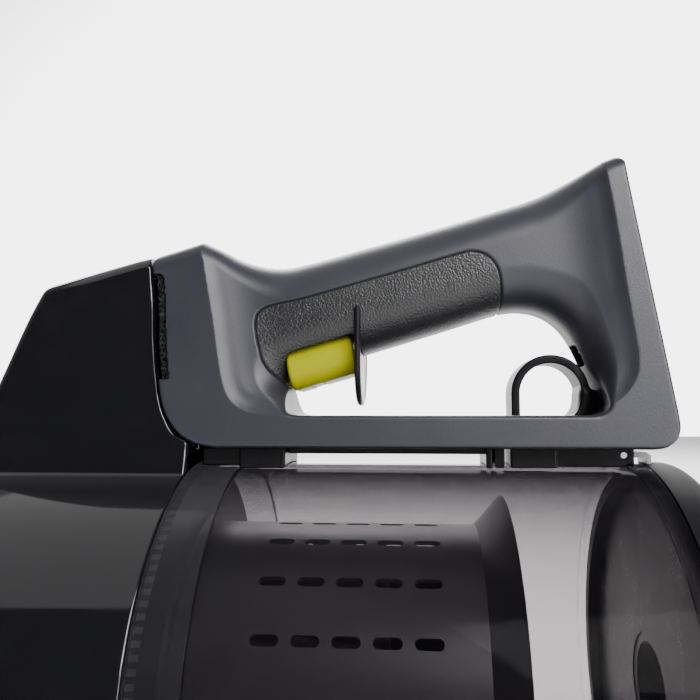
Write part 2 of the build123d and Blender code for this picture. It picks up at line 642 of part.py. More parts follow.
# ---- handle shells: the form, hollowed, with room for the pad, trigger, latch, ring and pins
with BuildPart() as handle_shell:
    add(handle_form.part)
    add(handle_core.part, mode=Mode.SUBTRACT)
    add(grip_pad.part, mode=Mode.SUBTRACT)
    extrude(space.sketch, amount=trigger_len + fit, mode=Mode.SUBTRACT)
    block(-60, -14, -latch_w / 2 - fit, latch_w / 2 + fit,
          crown + latch_h - fit, crown + latch_h + latch_t + fit, Mode.SUBTRACT)
    block(neck_x - 10, foam_x, -big, big, crown + foam_h, crown + foam_h + foam_len, Mode.SUBTRACT)
    for turn in (0, 0.25, 0.5, 0.75, 1):
        with BuildSketch(Plane.XZ) as ring_side:
            ring_outline(fit + 0.2)
        swept = extrude(ring_side.sketch, amount=ring_w / 2 + fit + 0.2, both=True, mode=Mode.PRIVATE)
        pivot = Axis((ring_x, 0, crown + ring_h), (0, 1, 0))
        add(swept.rotate(pivot, turn * ring_turn), mode=Mode.SUBTRACT)

for side, label in ((1, "left"), (-1, "right")):
    with BuildPart() as half_shell:
        add(handle_shell.part)
        split(bisect_by=Plane.XZ, keep=Keep.BOTTOM if side > 0 else Keep.TOP)
    write(half_shell, f"handle_shell_{label}")

# ---- porous foam in the air vent at the back of the neck
with BuildPart() as vent_foam:
    with BuildSketch(Plane.XZ.offset(-half_w)) as vent_side:
        frame_outline()
    extrude(vent_side.sketch, amount=handle_w)
    block(neck_x - 10, foam_x, -big, big, crown + foam_h, crown + foam_h + foam_len, Mode.INTERSECT)
write(vent_foam, "vent_foam")

# ---- trigger lever
with BuildPart() as trigger:
    with BuildSketch(lever_space.offset(trigger_root)) as section:
        with Locations((0, -trigger_sag)):
            RectangleRounded(trigger_w, trigger_t, trigger_t / 2 - 0.1)
    extrude(section.sketch, amount=trigger_len - trigger_root)
    block(guard_x - gap, big, -big, big, crown, big, Mode.SUBTRACT)
    rod((trigger_x, -hub_half, crown + trigger_h), (0, 1, 0), 6, 2 * hub_half)
    with BuildSketch(lever_space) as neck:
        Rectangle(2 * hub_half, 10)
    extrude(neck.sketch, amount=trigger_root + 1)
    block(trigger_x - arm_half, trigger_x + arm_half, -4, 4,
          crown + trigger_h - trigger_arm, crown + trigger_h)
    rod((trigger_x, -20, crown + trigger_h), (0, 1, 0), pin_r + run, 40, Mode.SUBTRACT)
write(trigger, "trigger")

# ---- bin latch: a sliding tongue moved by the lever's arm
with BuildPart() as bin_latch:
    block(neck_x - latch_reach, 4, -latch_w / 2, latch_w / 2, crown + latch_h, crown + latch_h + latch_t)
    chamfer(bin_latch.edges().filter_by(Axis.Y).sort_by(Axis.X)[0], length=1.2)
    window = arm_half + slot_play
    block(trigger_x - window, trigger_x + window, -4.6, 4.6, crown, big, Mode.SUBTRACT)
write(bin_latch, "bin_latch")

# ---- finger guard: upright disc round the grip
with BuildPart() as finger_guard:
    with BuildSketch(Plane.YZ.offset(guard_x)):
        with Locations((0, crown + (guard_low + guard_high) / 2)):
            RectangleRounded(guard_w, guard_high - guard_low, guard_high / 2 - guard_low / 2 - 1)
    extrude(amount=guard_t)
    fillet(finger_guard.edges(), radius=0.9)
    add(handle_form.part, mode=Mode.SUBTRACT)
write(finger_guard, "finger_guard")

# ---- release ring
with BuildPart() as release_ring:
    with BuildSketch(Plane.XZ.offset(-ring_w / 2)) as ring_side:
        ring_outline()
    extrude(ring_side.sketch, amount=ring_w)
    with BuildSketch(Plane.XZ.offset(-ring_w / 2)) as hole_side:
        with Locations((ring_mid_x, crown + ring_mid_h)):
            Circle(ring_r - ring_t)
        with Locations((ring_mid_x, crown + ring_mid_h - 20)):
            Rectangle(2 * (ring_r - ring_t), 40)
    extrude(hole_side.sketch, amount=ring_w, mode=Mode.SUBTRACT)
    rod((ring_x, -ring_w, crown + ring_h), (0, 1, 0), pin_r + run, 2 * ring_w, Mode.SUBTRACT)
write(release_ring, "release_ring")

# ---- pins and torsion springs of the trigger and the ring
lever_pivots = ((trigger_x, crown + trigger_h, hub_half), (ring_x, crown + ring_h, ring_w / 2))
coil_t, coil_len = 1.6, 6.0
with BuildPart() as lever_pins:
    for x, z, clear_y in lever_pivots:
        rod((x, -half_w + wall, z), (0, 1, 0), pin_r, handle_w - 2 * wall)
write(lever_pins, "lever_pins")

with BuildPart() as lever_springs:
    for x, z, clear_y in lever_pivots:
        rod((x, clear_y + 1, z), (0, 1, 0), pin_r + coil_t, coil_len)
        rod((x, clear_y, z), (0, 1, 0), pin_r, coil_len + 2, Mode.SUBTRACT)
write(lever_springs, "lever_springs")

# ---- saddle between the handle's bar and the bin, and the bracket of the lid latch
with BuildPart() as handle_saddle:
    block(collar_x + fit, 14, -16, 16, crown - 12, bar_z0)
    block(94, 101, -14, 14, crown - 12, bar_z0)
    block(113, 121, -14, 14, crown - 12, bar_z0)
    block(hook_x - 11, hook_x + 4, -10, 10, crown - 6, bar_z0)
    block(hook_x - 8, hook_x + 5, -hook_w / 2 - fit, hook_w / 2 + fit, crown - 6, bar_z0, Mode.SUBTRACT)
    drum(barrel_r, collar_x, lid_x, Mode.SUBTRACT)
    drum(body_r, rim_x, lid_x, Mode.SUBTRACT)
    rod((hook_x, -20, crown + hook_h), (0, 1, 0), hook_pin_r, 40, Mode.SUBTRACT)
write(handle_saddle, "handle_saddle")

with BuildPart() as hook_pin:
    rod((hook_x, -10, crown + hook_h), (0, 1, 0), hook_pin_r, 20)
write(hook_pin, "hook_pin")

hook_toe_x = hook_x + hook_toe
hook_heel_x = hook_x + hook_heel
with BuildPart() as lid_latch:
    plate_xz([(hook_x - 5, crown + 2.2), (hook_heel_x, crown + 2.2), (hook_heel_x, crown - 1.0),
              (hook_toe_x, crown - 0.6), (hook_toe_x, crown + 3.2), (hook_toe_x - 2, crown + 4.4),
              (hook_x - 5, crown + 4.4)], -hook_w / 2, hook_w / 2)
    rod((hook_x, -hook_w / 2, crown + hook_h), (0, 1, 0), 2.4, hook_w)
    rod((hook_x, -hook_w, crown + hook_h), (0, 1, 0), hook_pin_r + run, 2 * hook_w, Mode.SUBTRACT)
write(lid_latch, "lid_latch")

# ================================================================ front lid
lid_back = lid_x + fit
lid_flat_x = nose_x - (body_r - lid_face_r)


def lid_profile(shrink, back):
    """Half section of the lid: short flat, rounded shoulder, 45-degree cone and flat face."""
    r_out = axis_z + body_r - shrink
    r_face = axis_z + lid_face_r - shrink * (math.sqrt(2) - 1)
    face_x = nose_x - shrink
    with BuildLine() as outline:
        Polyline((back, axis_z), (back, r_out), (face_x - (r_out - r_face), r_out), (face_x, r_face),
                 (face_x, axis_z), close=True)
    make_face(outline.edges())


turn_axis = Axis((0, 0, axis_z), (1, 0, 0))
socket_r = hose_r + hose_wall
with BuildPart() as lid_shell:
    with BuildSketch(Plane.XZ) as lid_side:
        lid_profile(0, lid_back)
        corners = lid_side.vertices().sort_by(Axis.Y)
        fillet(near(corners, lid_flat_x, axis_z + body_r), radius=lid_round)
        fillet(near(lid_side.vertices(), nose_x, axis_z + lid_face_r), radius=lid_round / 2)
    revolve(lid_side.sketch, axis=turn_axis)
    with BuildSketch(Plane.XZ) as lid_inside:
        lid_profile(wall, lid_back - 1)
    revolve(lid_inside.sketch, axis=turn_axis, mode=Mode.SUBTRACT)
    rod((lid_x, -hinge_half, hinge_z), (0, 1, 0), hinge_r, 2 * hinge_half)
    block(lid_back, lid_back + 7, -hinge_half, hinge_half, hinge_z, axis_z - body_r + wall)
    drum(body_r - wall, lid_back - 20, lid_back + 8, Mode.SUBTRACT)
    rod((lid_x, -40, hinge_z), (0, 1, 0), pin_r + run, 80, Mode.SUBTRACT)
    drum(socket_r, lid_x, nose_x + 1, Mode.SUBTRACT)
    block(hook_heel_x - fit, hook_toe_x + 1.0, -hook_w / 2 - fit, hook_w / 2 + fit,
          crown - 1.8, big, Mode.SUBTRACT)
write(lid_shell, "lid_shell")

liner_x = lid_back + 1.0
with BuildPart() as lid_liner:
    drum(body_r - wall, liner_x, liner_x + 2.5)
    drum(socket_r, liner_x, liner_x + 2.5, Mode.SUBTRACT)
write(lid_liner, "lid_liner")

with BuildPart() as lid_seal:
    drum(barrel_r - clear_wall - fit, liner_x - 4.5, liner_x)
    drum(barrel_r - clear_wall - 6, liner_x - 4.5, liner_x, Mode.SUBTRACT)
write(lid_seal, "lid_seal")

with BuildPart() as hose_socket:
    drum(socket_r, nose_x - hose_depth + 1, nose_x)
    drum(socket_r + 7, nose_x - wall - 3, nose_x - wall)
    drum(hose_r, lid_x, nose_x + 1, Mode.SUBTRACT)
write(hose_socket, "hose_socket")
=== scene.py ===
"""Looks of the canister vacuum cleaner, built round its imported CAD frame.

Lengths in the modelling code are millimetres. The handle's side view uses (x, h): x along the body and h
above the crown, which is the top line of the round body.
"""
import math

import bmesh
import bpy
import numpy as np
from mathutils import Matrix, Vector


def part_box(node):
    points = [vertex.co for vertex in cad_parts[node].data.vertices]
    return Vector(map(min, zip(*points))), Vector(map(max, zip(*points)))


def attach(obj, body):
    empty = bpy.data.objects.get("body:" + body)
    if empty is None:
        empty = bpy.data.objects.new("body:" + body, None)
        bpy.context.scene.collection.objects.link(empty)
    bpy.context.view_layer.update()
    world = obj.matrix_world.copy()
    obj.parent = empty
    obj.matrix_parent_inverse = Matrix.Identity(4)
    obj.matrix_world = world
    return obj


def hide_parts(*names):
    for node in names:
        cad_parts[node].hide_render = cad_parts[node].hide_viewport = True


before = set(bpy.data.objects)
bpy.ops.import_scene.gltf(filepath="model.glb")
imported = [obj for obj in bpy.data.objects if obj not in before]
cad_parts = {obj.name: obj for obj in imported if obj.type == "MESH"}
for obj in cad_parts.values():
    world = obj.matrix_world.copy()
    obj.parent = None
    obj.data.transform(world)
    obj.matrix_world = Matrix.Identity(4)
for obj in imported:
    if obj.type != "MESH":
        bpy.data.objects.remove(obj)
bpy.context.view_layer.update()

# ------------------------------------------------------------------ sizes from the frame, in millimetres
MM = 0.001


def cad_range(node, axis):
    """Lowest and highest place of a CAD node along one axis, in millimetres."""
    low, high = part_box(node)
    return low[axis] / MM, high[axis] / MM


BELLY, CROWN = cad_range("bin_collar", 2)          # lowest and highest line of the round body
BODY_R = (CROWN - BELLY) / 2
HALF_W = cad_range("handle_shell_left", 1)[1]      # half width of the handle's frame


# ------------------------------------------------------------------ curves and distances in the side view
def spline(points, per_span=8):
    """Smooth open curve through points, as a dense list of points."""
    p = np.array([points[0], *points, points[-1]], float)
    t = np.linspace(0, 1, per_span, endpoint=False)[:, None]
    spans = []
    for a, b, c, d in zip(p, p[1:], p[2:], p[3:]):
        spans.append(0.5 * (2 * b + (c - a) * t + (2 * a - 5 * b + 4 * c - d) * t ** 2
                            + (3 * b - a - 3 * c + d) * t ** 3))
    return np.vstack([*spans, p[-1:]])


def inside_distance(shape, x, h):
    """Signed distance from points to a closed outline: negative inside."""
    near = np.full(x.shape, 1e9)
    within = np.zeros(x.shape, bool)
    for (ax, ah), (bx, bh) in zip(shape, np.roll(shape, -1, axis=0)):
        ex, eh = bx - ax, bh - ah
        size = ex * ex + eh * eh
        if size < 1e-9:
            continue
        t = np.clip(((x - ax) * ex + (h - ah) * eh) / size, 0, 1)
        near = np.minimum(near, (x - ax - t * ex) ** 2 + (h - ah - t * eh) ** 2)
        if ah != bh:
            within ^= ((ah > h) != (bh > h)) & (x < ex * (h - ah) / eh + ax)
    return np.where(within, -1, 1) * np.sqrt(near)


def ramp(t):
    """Smooth step from 0 to 1."""
    t = np.clip(t, 0, 1)
    return t * t * (3 - 2 * t)


def rounded_both(u, v, r):
    """Intersection of two solids given by distances u and v, its edge rounded to radius r."""
    a, b = np.maximum(u + r, 0), np.maximum(v + r, 0)
    return np.minimum(np.maximum(u, v), -r) + np.sqrt(a * a + b * b)


# ------------------------------------------------------------------ solid surface from a field
def surface_nets(field, low, step):
    """Quad mesh of the field's zero surface on a regular grid."""
    size = np.array(field.shape) - 1
    total, count = np.zeros((*size, 3)), np.zeros(size)

    def corner(place):
        return field[tuple(slice(p, p + s) for p, s in zip(place, size))]

    for axis in range(3):
        for u in (0, 1):
            for v in (0, 1):
                a = np.zeros(3, int)
                a[(axis + 1) % 3], a[(axis + 2) % 3] = u, v
                b = a.copy()
                b[axis] = 1
                fa, fb = corner(a), corner(b)
                cross = (fa < 0) != (fb < 0)
                t = np.where(cross, fa / np.where(cross, fa - fb, 1), 0)
                total += cross[..., None] * (a + t[..., None] * (b - a))
                count += cross
    used = count > 0
    index = np.full(size, -1)
    index[used] = np.arange(used.sum())
    verts = low + (np.argwhere(used) + total[used] / count[used][:, None]) * step
    quads = []
    inside = field < 0
    for axis in range(3):
        u, v = (axis + 1) % 3, (axis + 2) % 3
        change = np.diff(inside.astype(np.int8), axis=axis)
        for sign in (-1, 1):
            nodes = np.argwhere(change == sign)
            keep = (nodes[:, u] > 0) & (nodes[:, v] > 0) & (nodes[:, u] < size[u]) & (nodes[:, v] < size[v])
            nodes = nodes[keep]
            ring = []
            for du, dv in ((0, 0), (1, 0), (1, 1), (0, 1)):
                cell = nodes.copy()
                cell[:, u] -= du
                cell[:, v] -= dv
                ring.append(index[tuple(cell.T)])
            quads.append(np.stack(ring if sign < 0 else ring[::-1], axis=1))
    return verts, np.vstack(quads)


def gradient(field, verts, reach=0.05):
    """Slope of a field at points."""
    slope = np.empty_like(verts)
    for axis in range(3):
        shift = np.zeros(3)
        shift[axis] = reach
        slope[:, axis] = (field(verts + shift) - field(verts - shift)) / (2 * reach)
    return slope


def settle(field, verts, rounds=3, most=0.6):
    """Moves points onto the field's zero surface."""
    for _ in range(rounds):
        slope = gradient(field, verts)
        move = -field(verts)[:, None] * slope / np.maximum((slope ** 2).sum(axis=1, keepdims=True), 0.05)
        far = np.linalg.norm(move, axis=1, keepdims=True)
        verts = verts + move * np.minimum(1, most / np.maximum(far, 1e-9))
    return verts


def grid_field(field, low, high, step):
    """Field values on a regular grid, and the grid's low corner."""
    axes = [np.arange(a, b + step, step) for a, b in zip(low, high)]
    points = np.stack(np.meshgrid(*axes, indexing="ij"), axis=-1)
    return field(points.reshape(-1, 3)).reshape(points.shape[:3])


# ------------------------------------------------------------------ mesh pieces
def to_world(points):
    """Side-view points (x, y, h) in millimetres to metres in the frame."""
    return (np.asarray(points, float) + (0, 0, CROWN)) * MM


def adopt(mesh, name, material, body, replaces):
    """Links a finished mesh as a smooth piece that rides on its body and stands for CAD nodes."""
    piece = bpy.data.objects.new(name, mesh)
    bpy.context.scene.collection.objects.link(piece)
    mesh.shade_smooth()
    mesh.materials.append(material)
    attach(piece, body)
    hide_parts(*replaces)
    return piece


LEAST_SHARE = 0.02      # a cut stays this share of an edge away from the edge's ends


def cut_along(bm, field):
    """Cuts a bmesh along the zero line of a field of (x, y, h), so that its edges follow the line."""
    verts = list(bm.verts)
    value = field(np.array([v.co[:] for v in verts]))
    level = dict(zip(verts, value))
    crossing = [e for e in bm.edges if (level[e.verts[0]] < 0) != (level[e.verts[1]] < 0)]
    if not crossing:
        return
    share = {}
    for e in crossing:
        a, b = (level[v] for v in e.verts)
        share[e] = min(max(a / (a - b), LEAST_SHARE), 1 - LEAST_SHARE)
    made = bmesh.ops.subdivide_edges(bm, edges=crossing, cuts=1, edge_percents=share)
    line = [g for g in made["geom_inner"] if isinstance(g, bmesh.types.BMVert)]
    bmesh.ops.connect_verts(bm, verts=line)


# ------------------------------------------------------------------ handle: the fields of its form
BAND_H = 18.8           # top of the lower bar
GRIP_HALF = 20.0        # half width of the grip
SCOOP = 23.0            # how far the scooped flank runs from the crease to the grip
TOP_ROUND = 7.0         # rounding between flank and top at the neck and the post
GRIP_ROUND = 16.5       # rounding of the grip
EDGE_ROUND = 1.6        # rounding of the frame's other edges
CORNER_ROUND = 4.5      # rounding of the side view's corners at the ends of the top line
SCOOP_POWER = 2.6       # how steeply the scooped flank falls from the crease
BLUR = 5.0              # blur of the scoop where stretches of the crease meet
BLUR_START, BLUR_RUN = 0.5, 7.0    # blur comes in this far from the crease, over this way
TRIGGER_X, TRIGGER_H = 41.4, 44.6  # middle of the trigger's front end
TRIGGER_LEAN = math.radians(16.0)  # slope of the trigger along the grip
TRIGGER_LEN, TRIGGER_HALF, TRIGGER_R = 27.8, 16.6, 8.5
TRIGGER_EDGE = 1.6      # rounding of the trigger's ends
TRIGGER_GAP = 0.5       # clearance round the trigger in the handle
TRIGGER_PULL = 6.0      # room that the handle leaves above the trigger

top_line = np.vstack([
    spline([(-39.8, 83.3), (-30, 86.1), (-20.6, 88.9)]),
    spline([(-19, 89.1), (-12, 86.2), (-4, 82.7), (5, 80.9), (14, 80.9), (24, 83.0), (40, 87.1), (70, 95.0),
            (101, 103.6), (114, 107.5), (126, 111.9), (134, 115.4), (139.8, 118.2)]),
    spline([(140.6, 118.5), (143.6, 119.6), (146.4, 120.2)])])
sides_outline = np.vstack([
    [(-47.8, 150), (140.4, 150), (147.0, 119.0)],
    spline([(147.0, 119.0), (150.2, 99.0), (157.0, 58.8), (163.4, 20.8)]),
    spline([(163.9, 17.0), (164.0, 13.6), (162.6, 9.8), (158.9, 6.9), (154.0, 6.1)]),
    spline([(-12.8, 6.1), (-21.2, 7.9), (-27.7, 12.2), (-32.3, 18.8), (-34.6, 25.5), (-36.1, 34.8),
            (-37.3, 47), (-38.1, 65), (-39.8, 83.3)])])
below_top_outline = np.vstack([[(-60, 78.0)], top_line, [(170, 128.0), (170, -60), (-60, -60)]])
window_outline = np.vstack([
    spline([(20.5, BAND_H), (16.4, 19.6), (14.8, 22.5), (14.2, 27.5), (14.4, 32.0), (16.4, 35.2),
            (21.0, 37.2)]),
    spline([(48.0, 45.1), (76.6, 53.6), (97.0, 59.9), (104.5, 61.5), (110.5, 61.6), (116.2, 60.4),
            (121.4, 57.8), (126.2, 53.4), (130.2, 47.4), (133.6, 40.2), (136.9, 32.4), (138.6, 26.6),
            (138.4, 22.0), (135.6, 19.4), (131.0, BAND_H)])])
crease_outline = np.vstack([
    spline([(-26, 150), (-20.6, 97), (-18.2, 81.6), (-15.9, 68.6), (-13.7, 56.5), (-11.6, 42.6), (-9.4, 31.4),
            (-5.9, 24.4), (0.2, 20.4), (8.0, 19.0), (18.0, BAND_H)]),
    spline([(118.0, BAND_H), (127.0, 19.0), (136.0, 20.9), (143.9, 26.0), (148.5, 32.8), (149.7, 40.0),
            (148.6, 50.0), (146.4, 66.1), (144.1, 85.4), (142.0, 101.0), (140.1, 112.6), (137.6, 128),
            (134, 150)])])
pad_outline = np.vstack([
    spline([(5.1, 40.9), (3.0, 49.0), (2.2, 56.0), (3.6, 60.3), (8.2, 62.9), (20.3, 65.5), (32.4, 68.7),
            (60.3, 76.3), (84.0, 82.9), (90.5, 83.4), (95.6, 80.9), (99.0, 75.6), (100.4, 67.7),
            (100.5, 59.0)]),
    [(100.5, 44), (50, 22), (20, 25.5)],
    spline([(17.6, 27.6), (12.8, 32.4), (8.0, 36.6), (5.1, 40.9)])])


def trigger_bar(p, grow=0.0):
    """Distance to the trigger's half-round bar, which slopes along the grip."""
    x, h = p[:, 0] - TRIGGER_X, p[:, 2] - TRIGGER_H
    along = x * math.cos(TRIGGER_LEAN) + h * math.sin(TRIGGER_LEAN)
    up = -x * math.sin(TRIGGER_LEAN) + h * math.cos(TRIGGER_LEAN)
    section = rounded_both(np.abs(p[:, 1]) - TRIGGER_HALF - grow, np.abs(up) - TRIGGER_R - grow,
                           TRIGGER_R - 0.1 + grow)
    ends = np.maximum(along - grow - 0.2, -along - TRIGGER_LEN + 0.08 * up - grow)
    return rounded_both(section, ends, TRIGGER_EDGE + grow)


class Plan:
    """Side-view fields kept on a fine (x, h) grid and read back by linear interpolation."""

    def __init__(self, low, high, step, fields):
        self.low, self.step = np.array(low, float), step
        axes = [np.arange(a, b + step, step) for a, b in zip(low, high)]
        x, h = np.meshgrid(*axes, indexing="ij")
        self.values = np.stack(fields(x, h), axis=-1)
        self.last = np.array(x.shape) - 2

    def __call__(self, x, h):
        at = (np.stack([x, h], axis=-1) - self.low) / self.step
        cell = np.clip(np.floor(at).astype(int), 0, self.last)
        u, v = np.moveaxis(np.clip(at - cell, 0, 1), -1, 0)[..., None]
        i, j = cell[..., 0], cell[..., 1]
        g = self.values
        found = (g[i, j] * (1 - u) * (1 - v) + g[i + 1, j] * u * (1 - v)
                 + g[i, j + 1] * (1 - u) * v + g[i + 1, j + 1] * u * v)
        return np.moveaxis(found, -1, 0)


def blurred(values, cells):
    """Gaussian blur of a 2-D grid, its edge values held."""
    reach = int(3 * cells)
    weight = np.exp(-0.5 * (np.arange(-reach, reach + 1) / cells) ** 2)
    weight /= weight.sum()
    for axis in (0, 1):
        wide = np.pad(values, [(reach, reach) if a == axis else (0, 0) for a in (0, 1)], mode="edge")
        size = values.shape[axis]
        values = sum(w * np.take(wide, np.arange(k, k + size), axis=axis) for k, w in enumerate(weight))
    return values


PLAN_STEP = 0.4
SIDE_ROUND_RUN, TOP_ROUND_RUN = 16, 30     # way in from the crease over which the rounding grows
CREASE, PAD = 5, 6                         # places of two fields in handle_plan's result


def handle_plan(x, h):
    """Fields of the handle over its side view: sides, top, half width, two roundings, crease and pad."""
    sides = np.maximum(inside_distance(sides_outline, x, h), -inside_distance(window_outline, x, h))
    top = inside_distance(below_top_outline, x, h)
    scoop_in = -inside_distance(crease_outline, x, h)
    t = np.clip(scoop_in / SCOOP, 0, 1)
    drop = (HALF_W - GRIP_HALF) * (1 - (1 - t) ** SCOOP_POWER)
    deep = ramp((scoop_in - BLUR_START) / BLUR_RUN)
    drop = drop + (blurred(drop, BLUR / PLAN_STEP) - drop) * deep
    soft_in = scoop_in + (blurred(scoop_in, BLUR / PLAN_STEP) - scoop_in) * deep
    r_side = EDGE_ROUND + (GRIP_ROUND - EDGE_ROUND) * ramp(soft_in / SIDE_ROUND_RUN)
    r_top = TOP_ROUND + (GRIP_ROUND - TOP_ROUND) * ramp(soft_in / TOP_ROUND_RUN)
    return sides, top, HALF_W - drop, r_side, r_top, scoop_in, inside_distance(pad_outline, x, h)


plan = Plan((-44, 2), (168, 124), PLAN_STEP, handle_plan)


def handle_form(p):
    """Distance-like field of the handle's outer form at (x, y, h)."""
    sides, top, half, r_side, r_top, _, _ = plan(p[:, 0], p[:, 2])
    flank = np.abs(p[:, 1]) - half
    form = np.maximum(rounded_both(flank, sides, r_side), rounded_both(flank, top, r_top))
    return np.maximum(form, rounded_both(sides, top, CORNER_ROUND))


# ------------------------------------------------------------------ materials
def node(tree, kind, place=(), **settings):
    """Adds one shader node and sets its sockets and properties."""
    made = tree.nodes.new(kind)
    for key, value in settings.items():
        if key in made.bl_rna.properties:
            setattr(made, key, value)
        else:
            made.inputs[key.replace("_", " ").strip()].default_value = value
    return made


def noise_value(tree, where, scale, detail, low, high, out_low, out_high):
    """A noise, its range low to high stretched onto out_low to out_high."""
    grain = node(tree, "ShaderNodeTexNoise", Scale=scale, Detail=detail)
    tree.links.new(where, grain.inputs["Vector"])
    spread = node(tree, "ShaderNodeMapRange")
    for socket, value in zip(("From Min", "From Max", "To Min", "To Max"), (low, high, out_low, out_high)):
        spread.inputs[socket].default_value = value
    tree.links.new(grain.outputs["Fac"], spread.inputs["Value"])
    return grain.outputs["Fac"], spread.outputs["Result"]


SMUDGE_SCALE = 38.0             # cells per metre of the uneven roughness
WEAR_SCALE = 95.0               # cells per metre of the worn patches
GRAIN_DEPTH = 0.2 * MM
CELL_DEPTH = 0.4 * MM
CLEAR_EDGE = 0.90               # how opaque a clear material gets where it is seen edge on
CLEAR_EDGE_POWER = 1.35
CLEAR_LEAST = 0.03              # how opaque it is where it is seen face on


def finish_material(name, color, rough, spread=0.06, grain_mm=0.4, grain=0.15, cells_mm=0.0, cells=0.5,
                    worn=None, wear=0.12, metallic=0.0, clear=None, specular=0.5, brushed=None):
    """Procedural material with fine grain, uneven roughness and faint wear.

    grain_mm and cells_mm are the sizes of the grain and of a pebbled texture, and grain and cells their
    strengths. clear is the tint of a see-through material and how much of its body shows; it turns opaque
    towards its edges. brushed stretches the grain.
    """
    made = bpy.data.materials.new(name)
    made.use_nodes = True
    tree = made.node_tree
    tree.nodes.clear()
    link = tree.links.new
    out = node(tree, "ShaderNodeOutputMaterial")
    shader = node(tree, "ShaderNodeBsdfPrincipled", Metallic=metallic)
    shader.inputs["Specular IOR Level"].default_value = specular
    where = node(tree, "ShaderNodeTexCoord").outputs["Object"]
    if brushed:
        stretch = node(tree, "ShaderNodeMapping", Scale=brushed)
        link(where, stretch.inputs["Vector"])
        fine_where = stretch.outputs["Vector"]
    else:
        fine_where = where
    _, uneven = noise_value(tree, where, SMUDGE_SCALE, 6.0, 0.3, 0.7, rough - spread, rough + spread)
    scuff = spread / 2
    fine, scuffs = noise_value(tree, fine_where, 1 / (grain_mm * MM), 2.0, 0.35, 0.65, -scuff, scuff)
    total = node(tree, "ShaderNodeMath", operation="ADD", use_clamp=True)
    link(uneven, total.inputs[0])
    link(scuffs, total.inputs[1])
    link(total.outputs[0], shader.inputs["Roughness"])
    _, patches = noise_value(tree, where, WEAR_SCALE, 8.0, 0.48, 0.72, 0.0, wear)
    tone = node(tree, "ShaderNodeMix", data_type="RGBA")
    tone.inputs["A"].default_value = (*color, 1)
    worn = worn or tuple(min(1.0, c * 1.25 + 0.035) for c in color)
    tone.inputs["B"].default_value = (*worn, 1)
    link(patches, tone.inputs["Factor"])
    link(tone.outputs["Result"], shader.inputs["Base Color"])
    bump = node(tree, "ShaderNodeBump", Strength=grain, Distance=GRAIN_DEPTH)
    link(fine, bump.inputs["Height"])
    normal = bump.outputs["Normal"]
    if cells_mm:
        pebbles = node(tree, "ShaderNodeTexVoronoi", feature="SMOOTH_F1", Scale=1 / (cells_mm * MM))
        link(where, pebbles.inputs["Vector"])
        ridges = node(tree, "ShaderNodeBump", Strength=cells, Distance=CELL_DEPTH, invert=True)
        link(pebbles.outputs["Distance"], ridges.inputs["Height"])
        link(normal, ridges.inputs["Normal"])
        normal = ridges.outputs["Normal"]
    link(normal, shader.inputs["Normal"])
    if clear is None:
        link(shader.outputs["BSDF"], out.inputs["Surface"])
        return made
    tint, body = clear
    see = node(tree, "ShaderNodeBsdfTransparent", Color=(*tint, 1))
    edge = node(tree, "ShaderNodeLayerWeight", Blend=0.5)
    steep = node(tree, "ShaderNodeMath", operation="POWER")
    link(edge.outputs["Facing"], steep.inputs[0])
    steep.inputs[1].default_value = CLEAR_EDGE_POWER
    amount = node(tree, "ShaderNodeMath", operation="MULTIPLY_ADD", use_clamp=True)
    link(steep.outputs[0], amount.inputs[0])
    amount.inputs[1].default_value = CLEAR_EDGE
    amount.inputs[2].default_value = CLEAR_LEAST + body
    mix = node(tree, "ShaderNodeMixShader")
    link(amount.outputs[0], mix.inputs["Fac"])
    link(see.outputs["BSDF"], mix.inputs[1])
    link(shader.outputs["BSDF"], mix.inputs[2])
    link(mix.outputs["Shader"], out.inputs["Surface"])
    return made


gloss_black = finish_material("gloss black", (0.004, 0.004, 0.005), 0.07, 0.02, 1.2, 0.01, wear=0.03)
satin = finish_material("satin handle", (0.0110, 0.0105, 0.0175), 0.42, 0.04, 0.42, 0.28, wear=0.04)
lid_black = finish_material("lid satin", (0.007, 0.007, 0.008), 0.50, 0.05, 0.6, 0.08, wear=0.05,
                            specular=0.03)
leather = finish_material("leather grain rubber", (0.005, 0.005, 0.006), 0.40, 0.05, 0.35, 0.15, 0.75, 0.5)
ring_black = finish_material("ring plastic", (0.005, 0.005, 0.006), 0.34, 0.05, 0.5, 0.08, specular=0.08)
guard_black = finish_material("guard plastic", (0.006, 0.006, 0.007), 0.30, 0.05, 0.5, 0.08, specular=0.12)
lime = finish_material("lime gloss", (0.25, 0.245, 0.0), 0.32, 0.04, 0.8, 0.03, worn=(0.28, 0.275, 0.0),
                       specular=0.06)
tray_grey = finish_material("tray plastic", (0.016, 0.016, 0.018), 0.38, 0.06, 0.5, 0.3)
clear_smoke = finish_material("smoked clear", (0.010, 0.009, 0.011), 0.035, 0.012, 6.0, 0.0,
                              clear=((0.84, 0.82, 0.83), 0.05), specular=0.12)
clear_collar = finish_material("clear collar", (0.03, 0.03, 0.033), 0.05, 0.015, 6.0, 0.0,
                               clear=((0.78, 0.78, 0.79), 0.08), specular=0.3)
shroud_grey = finish_material("shroud plastic", (0.022, 0.022, 0.026), 0.36, 0.05, 0.5, 0.2)
inner_grey = finish_material("inner plastic", (0.05, 0.05, 0.054), 0.42, 0.05, 0.6, 0.2)
latch_grey = finish_material("latch plastic", (0.22, 0.22, 0.23), 0.33, 0.05, 0.5, 0.15)
seal_rubber = finish_material("seal rubber", (0.012, 0.012, 0.012), 0.62, 0.08, 0.6, 0.3)
tyre_rubber = finish_material("tyre rubber", (0.016, 0.016, 0.016), 0.68, 0.08, 0.7, 0.5, 2.2, 0.2, wear=0.3)
foam_black = finish_material("open foam", (0.002, 0.002, 0.002), 0.9, 0.05, 0.5, 0.8, 1.4, 0.8)
